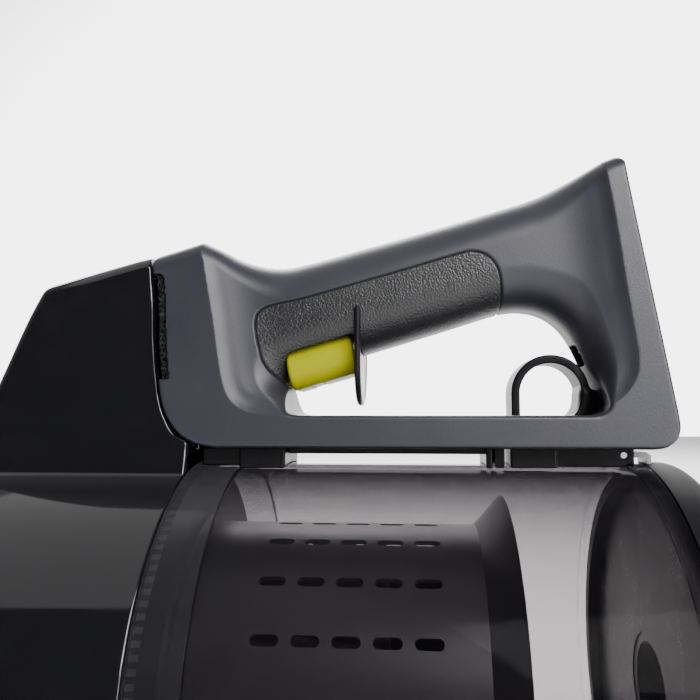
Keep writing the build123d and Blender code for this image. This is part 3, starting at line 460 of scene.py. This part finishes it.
filter_white = finish_material("filter cloth", (0.55, 0.55, 0.52), 0.85, 0.05, 0.6, 0.8, 2.0, 0.6,
                               worn=(0.30, 0.28, 0.25), wear=0.5)
steel = finish_material("turned steel", (0.50, 0.50, 0.51), 0.28, 0.07, 0.6, 0.15, metallic=1.0,
                        worn=(0.38, 0.37, 0.36), brushed=(1, 0.08, 1))
spring_steel = finish_material("spring steel", (0.36, 0.36, 0.37), 0.30, 0.07, 0.5, 0.15, metallic=1.0)
motor_metal = finish_material("zinc plate", (0.55, 0.55, 0.54), 0.36, 0.08, 1.5, 0.12, metallic=1.0, wear=0.3,
                              worn=(0.40, 0.40, 0.38))
copper = finish_material("wound copper", (0.62, 0.28, 0.13), 0.34, 0.07, 0.5, 0.4, metallic=1.0,
                         worn=(0.42, 0.17, 0.08), brushed=(0.05, 1, 1))
board_green = finish_material("board", (0.02, 0.10, 0.035), 0.45, 0.06, 0.7, 0.2, worn=(0.03, 0.05, 0.03),
                              wear=0.4)
pedal_grey = finish_material("pedal plastic", (0.03, 0.03, 0.034), 0.30, 0.05, 0.5, 0.2)

# ------------------------------------------------------------------ finishes of the CAD nodes that stay
for finish, kept in (
        (tray_grey, "base_tray pedal_carrier partition cord_gland exhaust_grille bulkhead caster_fork"),
        (seal_rubber, "cradle_pads port_gasket motor_mounts lid_seal"),
        (gloss_black, "rear_shell hubcap_left hubcap_right"), (lid_black, "lid_shell"),
        (satin, "handle_shell_left handle_shell_right"),
        (leather, "grip_pad"), (guard_black, "finger_guard release_ring handle_saddle lid_liner hose_socket"),
        (lime, "trigger"), (foam_black, "vent_foam pre_filter"), (filter_white, "exhaust_filter"),
        (clear_smoke, "bin_barrel"), (clear_collar, "bin_collar"), (shroud_grey, "cyclone_shroud bin_back"),
        (inner_grey, "cyclone_cones fan_impeller cord_reel fan_cover"), (latch_grey, "lid_latch"),
        (tyre_rubber, "tyre_left tyre_right caster_wheel"),
        (pedal_grey, "power_pedal rewind_pedal bin_latch"),
        (steel, "wheel_axles motor_shaft caster_axle reel_axle lid_hinge_pin hook_pin lever_pins"),
        (steel, "latch_catch"),
        (spring_steel, "power_pedal_spring rewind_pedal_spring lever_springs"),
        (motor_metal, "motor_can motor_field motor_bearings"), (copper, "armature"),
        (board_green, "control_board"), (shroud_grey, "wheel_left wheel_right")):
    for name in kept.split():
        kept_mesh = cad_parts[name].data
        kept_mesh.materials.clear()
        kept_mesh.materials.append(finish)


# ------------------------------------------------------------------ shared ways of making pieces
def field_piece(name, field, low, high, step, material, body, replaces, rounds=3):
    """Piece from a field: surface nets settled onto it, shaded by the field's own slope."""
    low, high = np.array(low, float), np.array(high, float)
    verts, faces = surface_nets(grid_field(field, low, high, step), low, step)
    verts = settle(field, verts, rounds, most=step)
    used = np.unique(faces)
    number = np.full(len(verts), -1)
    number[used] = np.arange(len(used))
    verts, faces = verts[used], number[faces]
    slope = gradient(field, verts)
    slope /= np.maximum(np.linalg.norm(slope, axis=1, keepdims=True), 1e-9)
    mesh = bpy.data.meshes.new(name)
    mesh.from_pydata(to_world(verts).tolist(), [], faces.tolist())
    piece = adopt(mesh, name, material, body, replaces)
    mesh.normals_split_custom_set_from_vertices(slope.tolist())
    return piece


def joined(u, v, r):
    """Union of two solids, the inside corner filled to radius r."""
    a, b = np.maximum(r - u, 0), np.maximum(r - v, 0)
    return np.maximum(np.minimum(u, v), r) - np.sqrt(a * a + b * b)


def bar_field(p, x0, x1, y0, y1, h0, h1, r):
    """Block with rounded edges."""
    q = np.stack([np.maximum(x0 - p[:, 0], p[:, 0] - x1), np.maximum(y0 - p[:, 1], p[:, 1] - y1),
                  np.maximum(h0 - p[:, 2], p[:, 2] - h1)], axis=1) + r
    return np.linalg.norm(np.maximum(q, 0), axis=1) + np.minimum(q.max(axis=1), 0) - r


def lathe(name, profile, material, body, replaces, centre, segments, bulge):
    """Piece turned about a line along y from a closed profile of (along, radius) points.

    bulge(along, radius, angle) is added to the radius.
    """
    along, radius = np.array(profile, float).T
    n = len(profile)
    verts = []
    for t in np.linspace(0, 2 * math.pi, segments, endpoint=False):
        reach = radius + bulge(along, radius, t)
        verts.append(np.stack([reach * math.cos(t), along, reach * math.sin(t)], axis=1))
    verts = np.vstack(verts) + np.array(centre, float) - (0, 0, CROWN)
    faces = []
    for i in range(segments):
        j = (i + 1) % segments
        for k in range(n):
            m = (k + 1) % n
            faces.append((i * n + k, i * n + m, j * n + m, j * n + k))
    mesh = bpy.data.meshes.new(name)
    mesh.from_pydata(to_world(verts).tolist(), [], faces)
    bm = bmesh.new()
    bm.from_mesh(mesh)
    bmesh.ops.remove_doubles(bm, verts=bm.verts, dist=1e-6)
    bmesh.ops.recalc_face_normals(bm, faces=bm.faces)
    bm.to_mesh(mesh)
    bm.free()
    return adopt(mesh, name, material, body, replaces)


def rounded_profile(corners, per_corner=6):
    """Closed profile with rounded corners from (along, radius, rounding) corners."""
    found = []
    count = len(corners)
    for i, (x, r, rounding) in enumerate(corners):
        here = np.array((x, r), float)
        before = np.array(corners[i - 1][:2], float) - here
        after = np.array(corners[(i + 1) % count][:2], float) - here
        lb, la = np.linalg.norm(before), np.linalg.norm(after)
        if rounding <= 0:
            found.append(here)
            continue
        before, after = before / lb, after / la
        half = math.acos(np.clip(before @ after, -1, 1)) / 2
        reach = min(rounding / math.tan(half), lb * 0.49, la * 0.49)
        start, end = here + before * reach, here + after * reach
        for t in np.linspace(0, 1, per_corner):
            found.append((1 - t) ** 2 * start + 2 * t * (1 - t) * here + t * t * end)
    return found


# ------------------------------------------------------------------ handle body and grip pad
SLOT_X0, SLOT_X1 = 129.0, 138.5          # dark slot in the inner wall of the front post
SLOT_H0, SLOT_H1, SLOT_HALF = 39.0, 47.5, 5.5
FOAM_H0, FOAM_H1, FOAM_DEEP = 33.2, 75.4, 4.6    # vent slot in the neck's rear edge
NECK_H = (20, 34.8, 47, 65, 83.3)        # the neck's rear edge: heights and the places there
NECK_X = (-33.4, -36.1, -37.3, -38.1, -39.8)
GROOVE_DEEP, GROOVE_REACH = 0.85, 0.45   # border groove of the grip pad
GROOVE_CUTS = (-0.9, -0.45, 0.0, 0.45, 0.9)
HANDLE_STEP = 0.8


def vent_recess(p, grow=0.0):
    """Slot in the neck's rear edge that holds the vent foam."""
    x, h = p[:, 0], p[:, 2]
    rear = np.interp(h, NECK_H, NECK_X)
    ends = np.maximum(FOAM_H0 - grow - h, h - FOAM_H1 - grow)
    return rounded_both(x - (rear + FOAM_DEEP + grow), ends, 1.6)


def handle_body_field(p):
    """Handle with the trigger's recess, the vent slot and the ring's slot."""
    pulled = p - (0, 0, TRIGGER_PULL)
    carve = np.maximum(-trigger_bar(p, TRIGGER_GAP), -trigger_bar(pulled, TRIGGER_GAP))
    body = rounded_both(handle_form(p), carve, 0.9)
    body = np.maximum(body, -vent_recess(p))
    notch = bar_field(p, SLOT_X0, SLOT_X1, -SLOT_HALF, SLOT_HALF, SLOT_H0, SLOT_H1, 1.5)
    return np.maximum(body, -notch)


def groove_profile(distance):
    """Depth of the pad's border groove at a distance from its line."""
    return GROOVE_DEEP * np.exp(-(distance / GROOVE_REACH) ** 2)


def carved_mesh(field, low, high, step):
    """The handle's surface with its crease and pad border cut in as edge lines.

    Gives the mesh, its normals, each point's distance to the nearest line and its distance to the pad's
    border.
    """
    low, high = np.array(low, float), np.array(high, float)
    verts, faces = surface_nets(grid_field(field, low, high, step), low, step)
    verts = settle(field, verts, 4, most=step)
    bm = bmesh.new()
    made = [bm.verts.new(v) for v in verts.tolist()]
    for f in faces.tolist():
        bm.faces.new([made[i] for i in f])
    bm.verts.index_update()

    def flank(p, which):
        return plan(p[:, 0], p[:, 2])[which]

    cut_along(bm, lambda p: flank(p, CREASE))
    for offset in GROOVE_CUTS:
        cut_along(bm, lambda p: flank(p, PAD) - offset)
    points = np.array([v.co[:] for v in bm.verts])
    points = settle(field, points, 2, most=step)
    slope = gradient(field, points)
    slope /= np.maximum(np.linalg.norm(slope, axis=1, keepdims=True), 1e-9)
    border, crease = flank(points, PAD), flank(points, CREASE)
    on_grip = (crease > 0) & (trigger_bar(points, 1.2) > 0)
    points = points - slope * (groove_profile(border) * on_grip)[:, None]
    for v, co in zip(bm.verts, points.tolist()):
        v.co = co
    return bm, slope, np.minimum(np.abs(border), np.abs(crease) * 1.3), border


def split_pad(bm, slope, lines, border):
    """Splits the carved mesh into body and pad along the border line."""
    bm.verts.index_update()
    middle = [np.mean([border[v.index] for v in f.verts]) for f in bm.faces]
    points = np.array([v.co[:] for v in bm.verts])
    sets = ([], [])
    for face, at in zip(bm.faces, middle):
        sets[int(at < 0)].append([v.index for v in face.verts])
    out = []
    for faces in sets:
        used = sorted({i for f in faces for i in f})
        number = {i: k for k, i in enumerate(used)}
        out.append((points[used], [[number[i] for i in f] for f in faces], slope[used], lines[used]))
    return out


bm, slope, lines, border = carved_mesh(handle_body_field, (-42, -26, 4), (167, 26, 123), HANDLE_STEP)
for (verts, faces, normals, near_line), name, finish, slot_name, stands in zip(
        split_pad(bm, slope, lines, border), ("handle_body", "grip_pad_skin"), (satin, leather),
        ("handle", "grip"), (("handle_shell_left", "handle_shell_right"), ("grip_pad",))):
    mesh = bpy.data.meshes.new(name)
    mesh.from_pydata(to_world(verts).tolist(), [], faces)
    mesh.validate()
    piece = adopt(mesh, name, finish, "bin", stands)
    own = np.empty(len(mesh.vertices) * 3, np.float32)
    mesh.vertex_normals.foreach_get("vector", own)
    own = own.reshape(-1, 3)
    blend = np.clip(1.5 - near_line / HANDLE_STEP, 0, 1)[:, None]    # the mesh's own normals near the lines
    mixed = own * blend + normals * (1 - blend)
    mixed /= np.linalg.norm(mixed, axis=1, keepdims=True)
    mesh.normals_split_custom_set_from_vertices(mixed.tolist())
bm.free()

# ------------------------------------------------------------------ trigger, guard, ring and vent foam
PIVOT_X, PIVOT_H = -6.0, 34.0            # trigger's pin
RING_PIN_X, RING_PIN_H = 146.0, 24.5     # release ring's pin
PIN_R = 2.06                             # bore round either pin
MARK_X, MARK_H, MARK_R = 24.0, 33.6, 2.4 # small plain oval cut into the trigger's left flank
MARK_LINE, MARK_DEEP, MARK_Y = 0.45, 0.35, -9.5


def tube_y(p, x, h, r, half):
    """Round bar along y."""
    return rounded_both(np.hypot(p[:, 0] - x, p[:, 2] - h) - r, np.abs(p[:, 1]) - half, 0.6)


def trigger_field(p):
    """Trigger: half-round bar, hub on the pin and the arm that moves the latch."""
    bar = trigger_bar(p)
    mark = np.hypot((p[:, 0] - MARK_X) / 1.8, p[:, 2] - MARK_H) - MARK_R
    rim = np.maximum(np.abs(mark) - MARK_LINE, MARK_Y - p[:, 1])
    bar = np.maximum(bar, -np.maximum(rim, -bar - MARK_DEEP))
    hub = tube_y(p, PIVOT_X, PIVOT_H, 6.0, 8.0)
    neck = bar_field(p, PIVOT_X, 18.0, -8.0, 8.0, 31.0, 38.5, 1.5)
    arm = bar_field(p, PIVOT_X - 3.0, PIVOT_X + 3.0, -4.0, 4.0, PIVOT_H - 24.0, PIVOT_H, 0.8)
    whole = joined(joined(bar, neck, 2.0), joined(hub, arm, 1.5), 1.5)
    return np.maximum(whole, PIN_R - np.hypot(p[:, 0] - PIVOT_X, p[:, 2] - PIVOT_H))


field_piece("trigger_grip", trigger_field, (-14, -18, 8), (44, 18, 56), 0.7, lime, "trigger_lever",
            ("trigger",))

GUARD_X0, GUARD_X1 = cad_range("finger_guard", 0)
GUARD_HALF = cad_range("finger_guard", 1)[1]
GUARD_H0, GUARD_H1, GUARD_FOOT_R = 22.9, 62.2, 19.0
GUARD_HALF_THICK, GUARD_BEAD = 0.82, 0.45


def guard_field(p):
    """Upright plate with a round foot and a bead round its rim, cut to the grip."""
    x, y, h = p.T
    across = np.hypot(np.maximum(np.abs(y) - (GUARD_HALF - GUARD_FOOT_R), 0),
                      np.maximum(GUARD_H0 + GUARD_FOOT_R - h, 0))
    face = np.maximum(across - GUARD_FOOT_R, h - GUARD_H1)
    mid = (GUARD_X0 + GUARD_X1) / 2
    thick = GUARD_HALF_THICK + GUARD_BEAD * np.exp(-((face + 1.5) / 0.8) ** 2)
    plate = rounded_both(np.abs(x - mid) - thick, face, 0.7)
    return np.maximum(plate, 0.1 - handle_form(p))


field_piece("guard_plate", guard_field, (40, -23, 21), (46.5, 23, 64), 0.45, guard_black, "bin",
            ("finger_guard",))

RING_MID_X, RING_MID_H, RING_R = 119.9, 27.5, 15.6     # the arch's middle and outer radius
RING_T, RING_HALF, RING_FOOT = 3.4, 9.5, 10.8          # the strip's thickness and half width, and its foot
PORE_SCALE = 3.2


def ring_field(p):
    """Release ring: an arch of flat strip with a foot, and a lobe round its pin."""
    x, y, h = p.T
    drop = np.where(x < RING_MID_X, np.maximum(h - RING_MID_H, 0), h - RING_MID_H)
    away = np.hypot(x - RING_MID_X, drop)
    strip = np.abs(away - (RING_R - RING_T / 2)) - RING_T / 2
    strip = np.maximum(strip, RING_FOOT - h)
    half = RING_HALF - 1.6 * ramp((x - 128.0) / 10.0)
    arch = rounded_both(strip, np.abs(y) - half, 1.0)
    web = bar_field(p, 131.6, RING_PIN_X + 3.0, -RING_HALF + 1.6, RING_HALF - 1.6, 18.0, 29.0, 2.2)
    whole = joined(arch, web, 2.5)
    return np.maximum(whole, PIN_R - np.hypot(x - RING_PIN_X, h - RING_PIN_H))


field_piece("ring_loop", ring_field, (102, -14.5, 8), (152, 14.5, 46), 0.6, ring_black, "ring_lever",
            ("release_ring",))


def foam_field(p):
    """Block of open foam in the vent slot, its skin broken by pores."""
    form = np.maximum(handle_form(p) + 1.3, vent_recess(p, -0.15))
    x, y, h = (p * PORE_SCALE).T
    pores = (np.sin(x * 1.7 + 1.3 * np.sin(h)) * np.sin(y * 1.5 + np.sin(x * 1.1))
             * np.sin(h * 1.6 + np.sin(y * 1.2)))
    return np.maximum(form, 0.55 * (pores - 0.18))


field_piece("vent_foam_block", foam_field, (-42, -26, 31), (-30, 26, 78), 0.55, foam_black, "bin",
            ("vent_foam",), rounds=2)

# ------------------------------------------------------------------ motor housing with its fin
SHELL_X0, SHELL_X1 = cad_range("rear_shell", 0)
SHELL_LOW = cad_range("rear_shell", 2)[0] - CROWN
DOME_ROUND = 35.4                        # rounding of the housing's rear end
SHELL_WALL = 3.0
FLARE_TOP, FLARE_RUN, FLARE = 16.0, 20.0, 3.4    # the fin's foot widens below this height
LATCH_X, LATCH_HALF, LATCH_H = -46.5, 9.0, 6.3   # guide groove of the bin latch
PEDAL_X, PEDAL_Y, PEDAL_R = -149.0, 32.0, 15.4   # holes for the two pedals
GRILLE_HALF, GRILLE_H, GRILLE_HIGH = 35.0, -64.0, 15.0    # half width, middle and half height
PEDAL_FLOOR = -40                        # the pedals' holes end above this height
GLAND_Y, GLAND_H, GLAND_R = 26.0, -102.0, 8.1    # hole for the cord's bush
REAR_WALL_X = -180.0
fin_outline = np.vstack([
    [(-10, 89.0), (-44.0, 83.0)],
    spline([(-44.0, 83.0), (-48.6, 81.9), (-63.1, 78.0), (-76.6, 74.2), (-82.7, 72.4), (-86.3, 70.6),
            (-88.8, 66.8), (-94.4, 55.6), (-102.7, 36.4), (-110.2, 19.4), (-113.6, 12.6), (-117.5, 7.2),
            (-124.0, 2.6), (-134.0, -1.2)]),
    [(-134, -30), (-10, -30)]])
neck_zone = np.vstack([
    [(60, 100), (60, 7.6)],
    spline([(-20.0, 7.6), (-28.5, 11.2), (-33.1, 18.4), (-35.4, 25.5), (-36.8, 34.8), (-38.0, 47),
            (-38.8, 65), (-40.4, 82.4)]),
    [(-42.0, 100)]])
fin_plan = Plan((-142, -34), (-16, 90), 0.5,
                lambda x, h: [inside_distance(fin_outline, x, h), inside_distance(neck_zone, x, h)])


def housing_outer(p):
    """Domed housing with the fin, whose foot flares out to a crease on the round body."""
    x, y, h = p.T
    dome = rounded_both(np.hypot(y, h + BODY_R) - BODY_R, SHELL_X0 - x, DOME_ROUND)
    side, neck = fin_plan(x, h)
    flare = np.clip((FLARE_TOP - h) / FLARE_RUN, 0, 1.2)
    half = HALF_W - 0.8 + FLARE * flare ** 2.2
    fin = rounded_both(np.abs(y) - half, side, 6.5)
    return joined(dome, rounded_both(fin, -neck, 0.8), 0.8)


def housing_field(p):
    """Hollow housing with its pedal holes, outlet windows and the latch's guide groove."""
    x, y, h = p.T
    outer = housing_outer(p)
    front = rounded_both(outer, x - SHELL_X1, 1.0)
    shell = np.maximum(np.maximum(front, -(outer + SHELL_WALL)), SHELL_LOW - h)
    groove = np.maximum(np.maximum(LATCH_X - x, np.abs(y) - LATCH_HALF), LATCH_H - h)
    lining = np.maximum(groove - SHELL_WALL, outer)
    shell = np.maximum(np.minimum(shell, lining), -groove)
    pedals = np.hypot(x - PEDAL_X, np.abs(y) - PEDAL_Y) - PEDAL_R
    shell = np.maximum(shell, -np.maximum(pedals, PEDAL_FLOOR - h))
    grille = np.maximum(np.abs(y) - GRILLE_HALF, np.abs(h - GRILLE_H) - GRILLE_HIGH)
    gland = np.hypot(y - GLAND_Y, h - GLAND_H) - GLAND_R
    return np.maximum(shell, -np.maximum(np.minimum(grille, gland), x - REAR_WALL_X))


field_piece("motor_housing", housing_field, (SHELL_X0 - 2, -90, SHELL_LOW - 2), (SHELL_X1 + 2, 90, 86), 1.2,
            gloss_black, "chassis", ("rear_shell",))


# ------------------------------------------------------------------ saddle under the handle's bar
SADDLE_TOP = 6.2
# the third row, x 14 to 96 from h 3.4 up, is the rail under the bar: a dark block that fills the see-through
# gap as painted shade where the bar's shade falls
SADDLE_BLOCKS = (       # x from and to, y from and to, lowest h, rounding
    (-4.4, 14.0, -16, 16, -8, 0.8), (-20.0, 0.0, -15, 15, -3, 0.8), (14.0, 96.0, -10, 10, 3.4, 0.8),
    (93.4, 96.0, -14, 14, -8, 0.5), (96.6, 101.0, -13, 13, -8, 0.4), (103.0, 121.0, -13.4, 13.4, -8, 0.8),
    (121.0, 138.0, -10, -7.6, -6, 0.5), (121.0, 138.0, 7.6, 10, -6, 0.5), (136.0, 151.0, -10, -6.5, -6, 0.6),
    (136.0, 151.0, 6.5, 10, -6, 0.6), (136.0, 139.0, -10, 10, -6, 0.6))
RIB_X, RIB_PITCH = 98.8, 1.1             # fine upright ribs on the middle block
BRACKET_PIN_X, BRACKET_PIN_H, BRACKET_PIN_R = 147.0, 3.3, 1.22
BARREL_X0, BARREL_X1, BARREL_R = -4.7, 148.7, 87.2    # clear barrel that the blocks stand on


def saddle_field(p):
    """Saddle blocks, the rail under the bar and the side panels up to the latch bracket; the rail is a dark
    block put in the gap under the bar as painted shade of the bar.
    """
    x, y, h = p.T
    whole = np.minimum.reduce([bar_field(p, x0, x1, y0, y1, low, SADDLE_TOP, r)
                               for x0, x1, y0, y1, low, r in SADDLE_BLOCKS])
    ribs = np.abs((x - RIB_X) % RIB_PITCH - RIB_PITCH / 2) - 0.2
    whole = np.maximum(whole, -np.maximum(np.maximum(ribs, np.abs(x - RIB_X) - 2.0), -12.4 - y))
    barrel = np.hypot(y, h + BODY_R) - np.where((x > BARREL_X0) & (x < BARREL_X1), BARREL_R, BODY_R) - 0.05
    pin = BRACKET_PIN_R - np.hypot(x - BRACKET_PIN_X, h - BRACKET_PIN_H)
    return np.maximum(np.maximum(whole, -barrel), pin)


field_piece("saddle_block", saddle_field, (-22, -17.5, -4), (152.5, 17.5, 7.5), 0.8, guard_black, "bin",
            ("handle_saddle",))

# ------------------------------------------------------------------ rear wheels: tyres with a tread, hub caps
TYRE_DEEP, TYRE_ROUND, TYRE_SEGMENTS = 7, 3.0, 576
TREAD_BLOCKS, TREAD_DEEP, TREAD_BAND = 72, 1.3, 2.2
TREAD_STEPS = (0.2, 0.36, 0.45, 0.47, 0.53, 0.55, 0.64, 0.8)    # shares of the tyre's width
SPOKES, SPOKE_HALF, PAN_DEEP, DISH_DEEP = 5, 9.0, 2.1, 0.7
for side, label in ((1, "left"), (-1, "right")):
    low_y, high_y = cad_range(f"tyre_{label}", 1)
    x0, x1 = cad_range(f"tyre_{label}", 0)
    centre = ((x0 + x1) / 2, 0, (x1 - x0) / 2)
    wheel_r = (x1 - x0) / 2
    mid_y = (low_y + high_y) / 2

    def tread(along, radius, angle):
        """Grooves across the tread, staggered on its two halves, and one round its middle."""
        stagger = np.where(along > mid_y, 0.0, math.pi)
        across = np.sin(TREAD_BLOCKS * angle + stagger) > 0.45
        groove = across | (np.abs(along - mid_y) < 0.9)
        return np.where((radius > wheel_r - TREAD_BAND) & groove, -TREAD_DEEP, 0.0)

    steps = [(low_y, wheel_r - TYRE_DEEP, 0.0), (low_y, wheel_r, TYRE_ROUND)]
    steps += [(low_y + t * (high_y - low_y), wheel_r, 0.0) for t in TREAD_STEPS]
    steps += [(high_y, wheel_r, TYRE_ROUND), (high_y, wheel_r - TYRE_DEEP, 0.0)]
    lathe(f"tread_{label}", rounded_profile(steps), tyre_rubber, f"{label}_wheel", (f"tyre_{label}",),
          centre, TYRE_SEGMENTS, tread)
    cap_low, cap_high = cad_range(f"hubcap_{label}", 1)
    cap_x0, cap_x1 = cad_range(f"hubcap_{label}", 0)
    cap_r = (cap_x1 - cap_x0) / 2
    centre_h = centre[2] - CROWN

    def cap_field(p):
        """Hub cap: five broad spokes between shallow pans, a raised rim and boss."""
        x, y, h = p.T
        r = np.hypot(x - centre[0], h - centre_h)
        turn = np.arctan2(h - centre_h, x - centre[0])
        share = 2 * math.pi / SPOKES
        spoke = np.abs((turn / share) % 1.0 - 0.5) * share * r
        pan = ramp((spoke - SPOKE_HALF) / 3.0) * ramp((r - 20.0) / 4.0) * ramp((cap_r - 7.0 - r) / 3.0)
        dish = PAN_DEEP * pan + DISH_DEEP * ramp((r - 15.0) / 4.0) * ramp((cap_r - 4.0 - r) / 3.0)
        outward = (y - (cap_high if side > 0 else cap_low)) * side + dish
        inward = ((cap_low if side > 0 else cap_high) - y) * side
        return rounded_both(r - cap_r, np.maximum(outward, inward), 1.2)

    field_piece(f"hub_cover_{label}", cap_field, (cap_x0 - 2, cap_low - 2, centre_h - cap_r - 2),
                (cap_x1 + 2, cap_high + 2, centre_h + cap_r + 2), 0.9, gloss_black, f"{label}_wheel",
                (f"hubcap_{label}",))


# ------------------------------------------------------------------ camera, lights and floor
CAMERA_PLACE, CAMERA_TURN, CAMERA_RISE = (0.065, -0.300, 0.237), 5.0218, 5.2017    # metres and degrees
SENSOR_MM, LENS_MM = 36.0, 36.72

sight = bpy.data.cameras.new("camera")
sight.sensor_width, sight.lens = SENSOR_MM, LENS_MM
camera = bpy.data.objects.new("camera", sight)
bpy.context.scene.collection.objects.link(camera)
turn, rise = math.radians(CAMERA_TURN), math.radians(CAMERA_RISE)
camera.location = CAMERA_PLACE
aim = Vector((-math.sin(turn) * math.cos(rise), math.cos(turn) * math.cos(rise), math.sin(rise)))
camera.rotation_euler = aim.to_track_quat("-Z", "Y").to_euler()
bpy.context.scene.camera = camera


def softbox(name, place, target, width, height, power):
    """Area light that faces a target."""
    lamp = bpy.data.lights.new(name, "AREA")
    lamp.shape, lamp.size, lamp.size_y, lamp.energy = "RECTANGLE", width, height, power
    holder = bpy.data.objects.new(name, lamp)
    holder.location = place
    holder.rotation_euler = (Vector(target) - Vector(place)).to_track_quat("-Z", "Y").to_euler()
    bpy.context.scene.collection.objects.link(holder)


softbox("overhead softbox", (-0.35, 0.05, 1.5), (0.05, 0.0, 0.2), 2.6, 1.1, 9)
softbox("key softbox", (0.75, -1.05, 0.95), (0.06, 0.0, 0.28), 1.2, 0.8, 42)
softbox("fill softbox", (1.25, -1.15, 0.35), (0.08, 0.0, 0.24), 1.0, 0.9, 20)
softbox("floor softbox", (0.0, 2.6, 2.2), (0.0, 2.4, 0.0), 4.0, 2.4, 260)

# brightness of the surroundings from the front (y -1) to behind the object (y 1): from, to, dim, bright
BEHIND = (0.62, 0.84, 0.0, 4.8)
AROUND = (-0.7, 0.6, 0.09, 0.42)

world = bpy.data.worlds.new("studio")
world.use_nodes = True
sky = world.node_tree
sky.nodes.clear()
direction = node(sky, "ShaderNodeTexCoord")
parts = node(sky, "ShaderNodeSeparateXYZ")
sky.links.new(direction.outputs["Generated"], parts.inputs["Vector"])
level = node(sky, "ShaderNodeMath", operation="ADD")
for place, (low, high, dim, bright) in enumerate((BEHIND, AROUND)):
    shade = node(sky, "ShaderNodeMapRange", interpolation_type="SMOOTHSTEP")
    for socket, value in zip(("From Min", "From Max", "To Min", "To Max"), (low, high, dim, bright)):
        shade.inputs[socket].default_value = value
    sky.links.new(parts.outputs["Y"], shade.inputs["Value"])
    sky.links.new(shade.outputs["Result"], level.inputs[place])
glow = node(sky, "ShaderNodeBackground", Color=(1, 1, 1, 1))
sky.links.new(level.outputs[0], glow.inputs["Strength"])
sky_out = node(sky, "ShaderNodeOutputWorld")
sky.links.new(glow.outputs["Background"], sky_out.inputs["Surface"])
bpy.context.scene.world = world

FLOOR = 8                # half the floor's width, in metres

floor_mesh = bpy.data.meshes.new("floor")
floor_mesh.from_pydata([(x * FLOOR, y * FLOOR, 0) for x, y in ((-1, -1), (1, -1), (1, 1), (-1, 1))], [],
                       [(0, 1, 2, 3)])
floor = bpy.data.objects.new("floor", floor_mesh)
bpy.context.scene.collection.objects.link(floor)
pale = finish_material("pale floor", (0.80, 0.80, 0.80), 0.75, 0.05, 2.0, 0.05, wear=0.03)
floor_mesh.materials.append(pale)
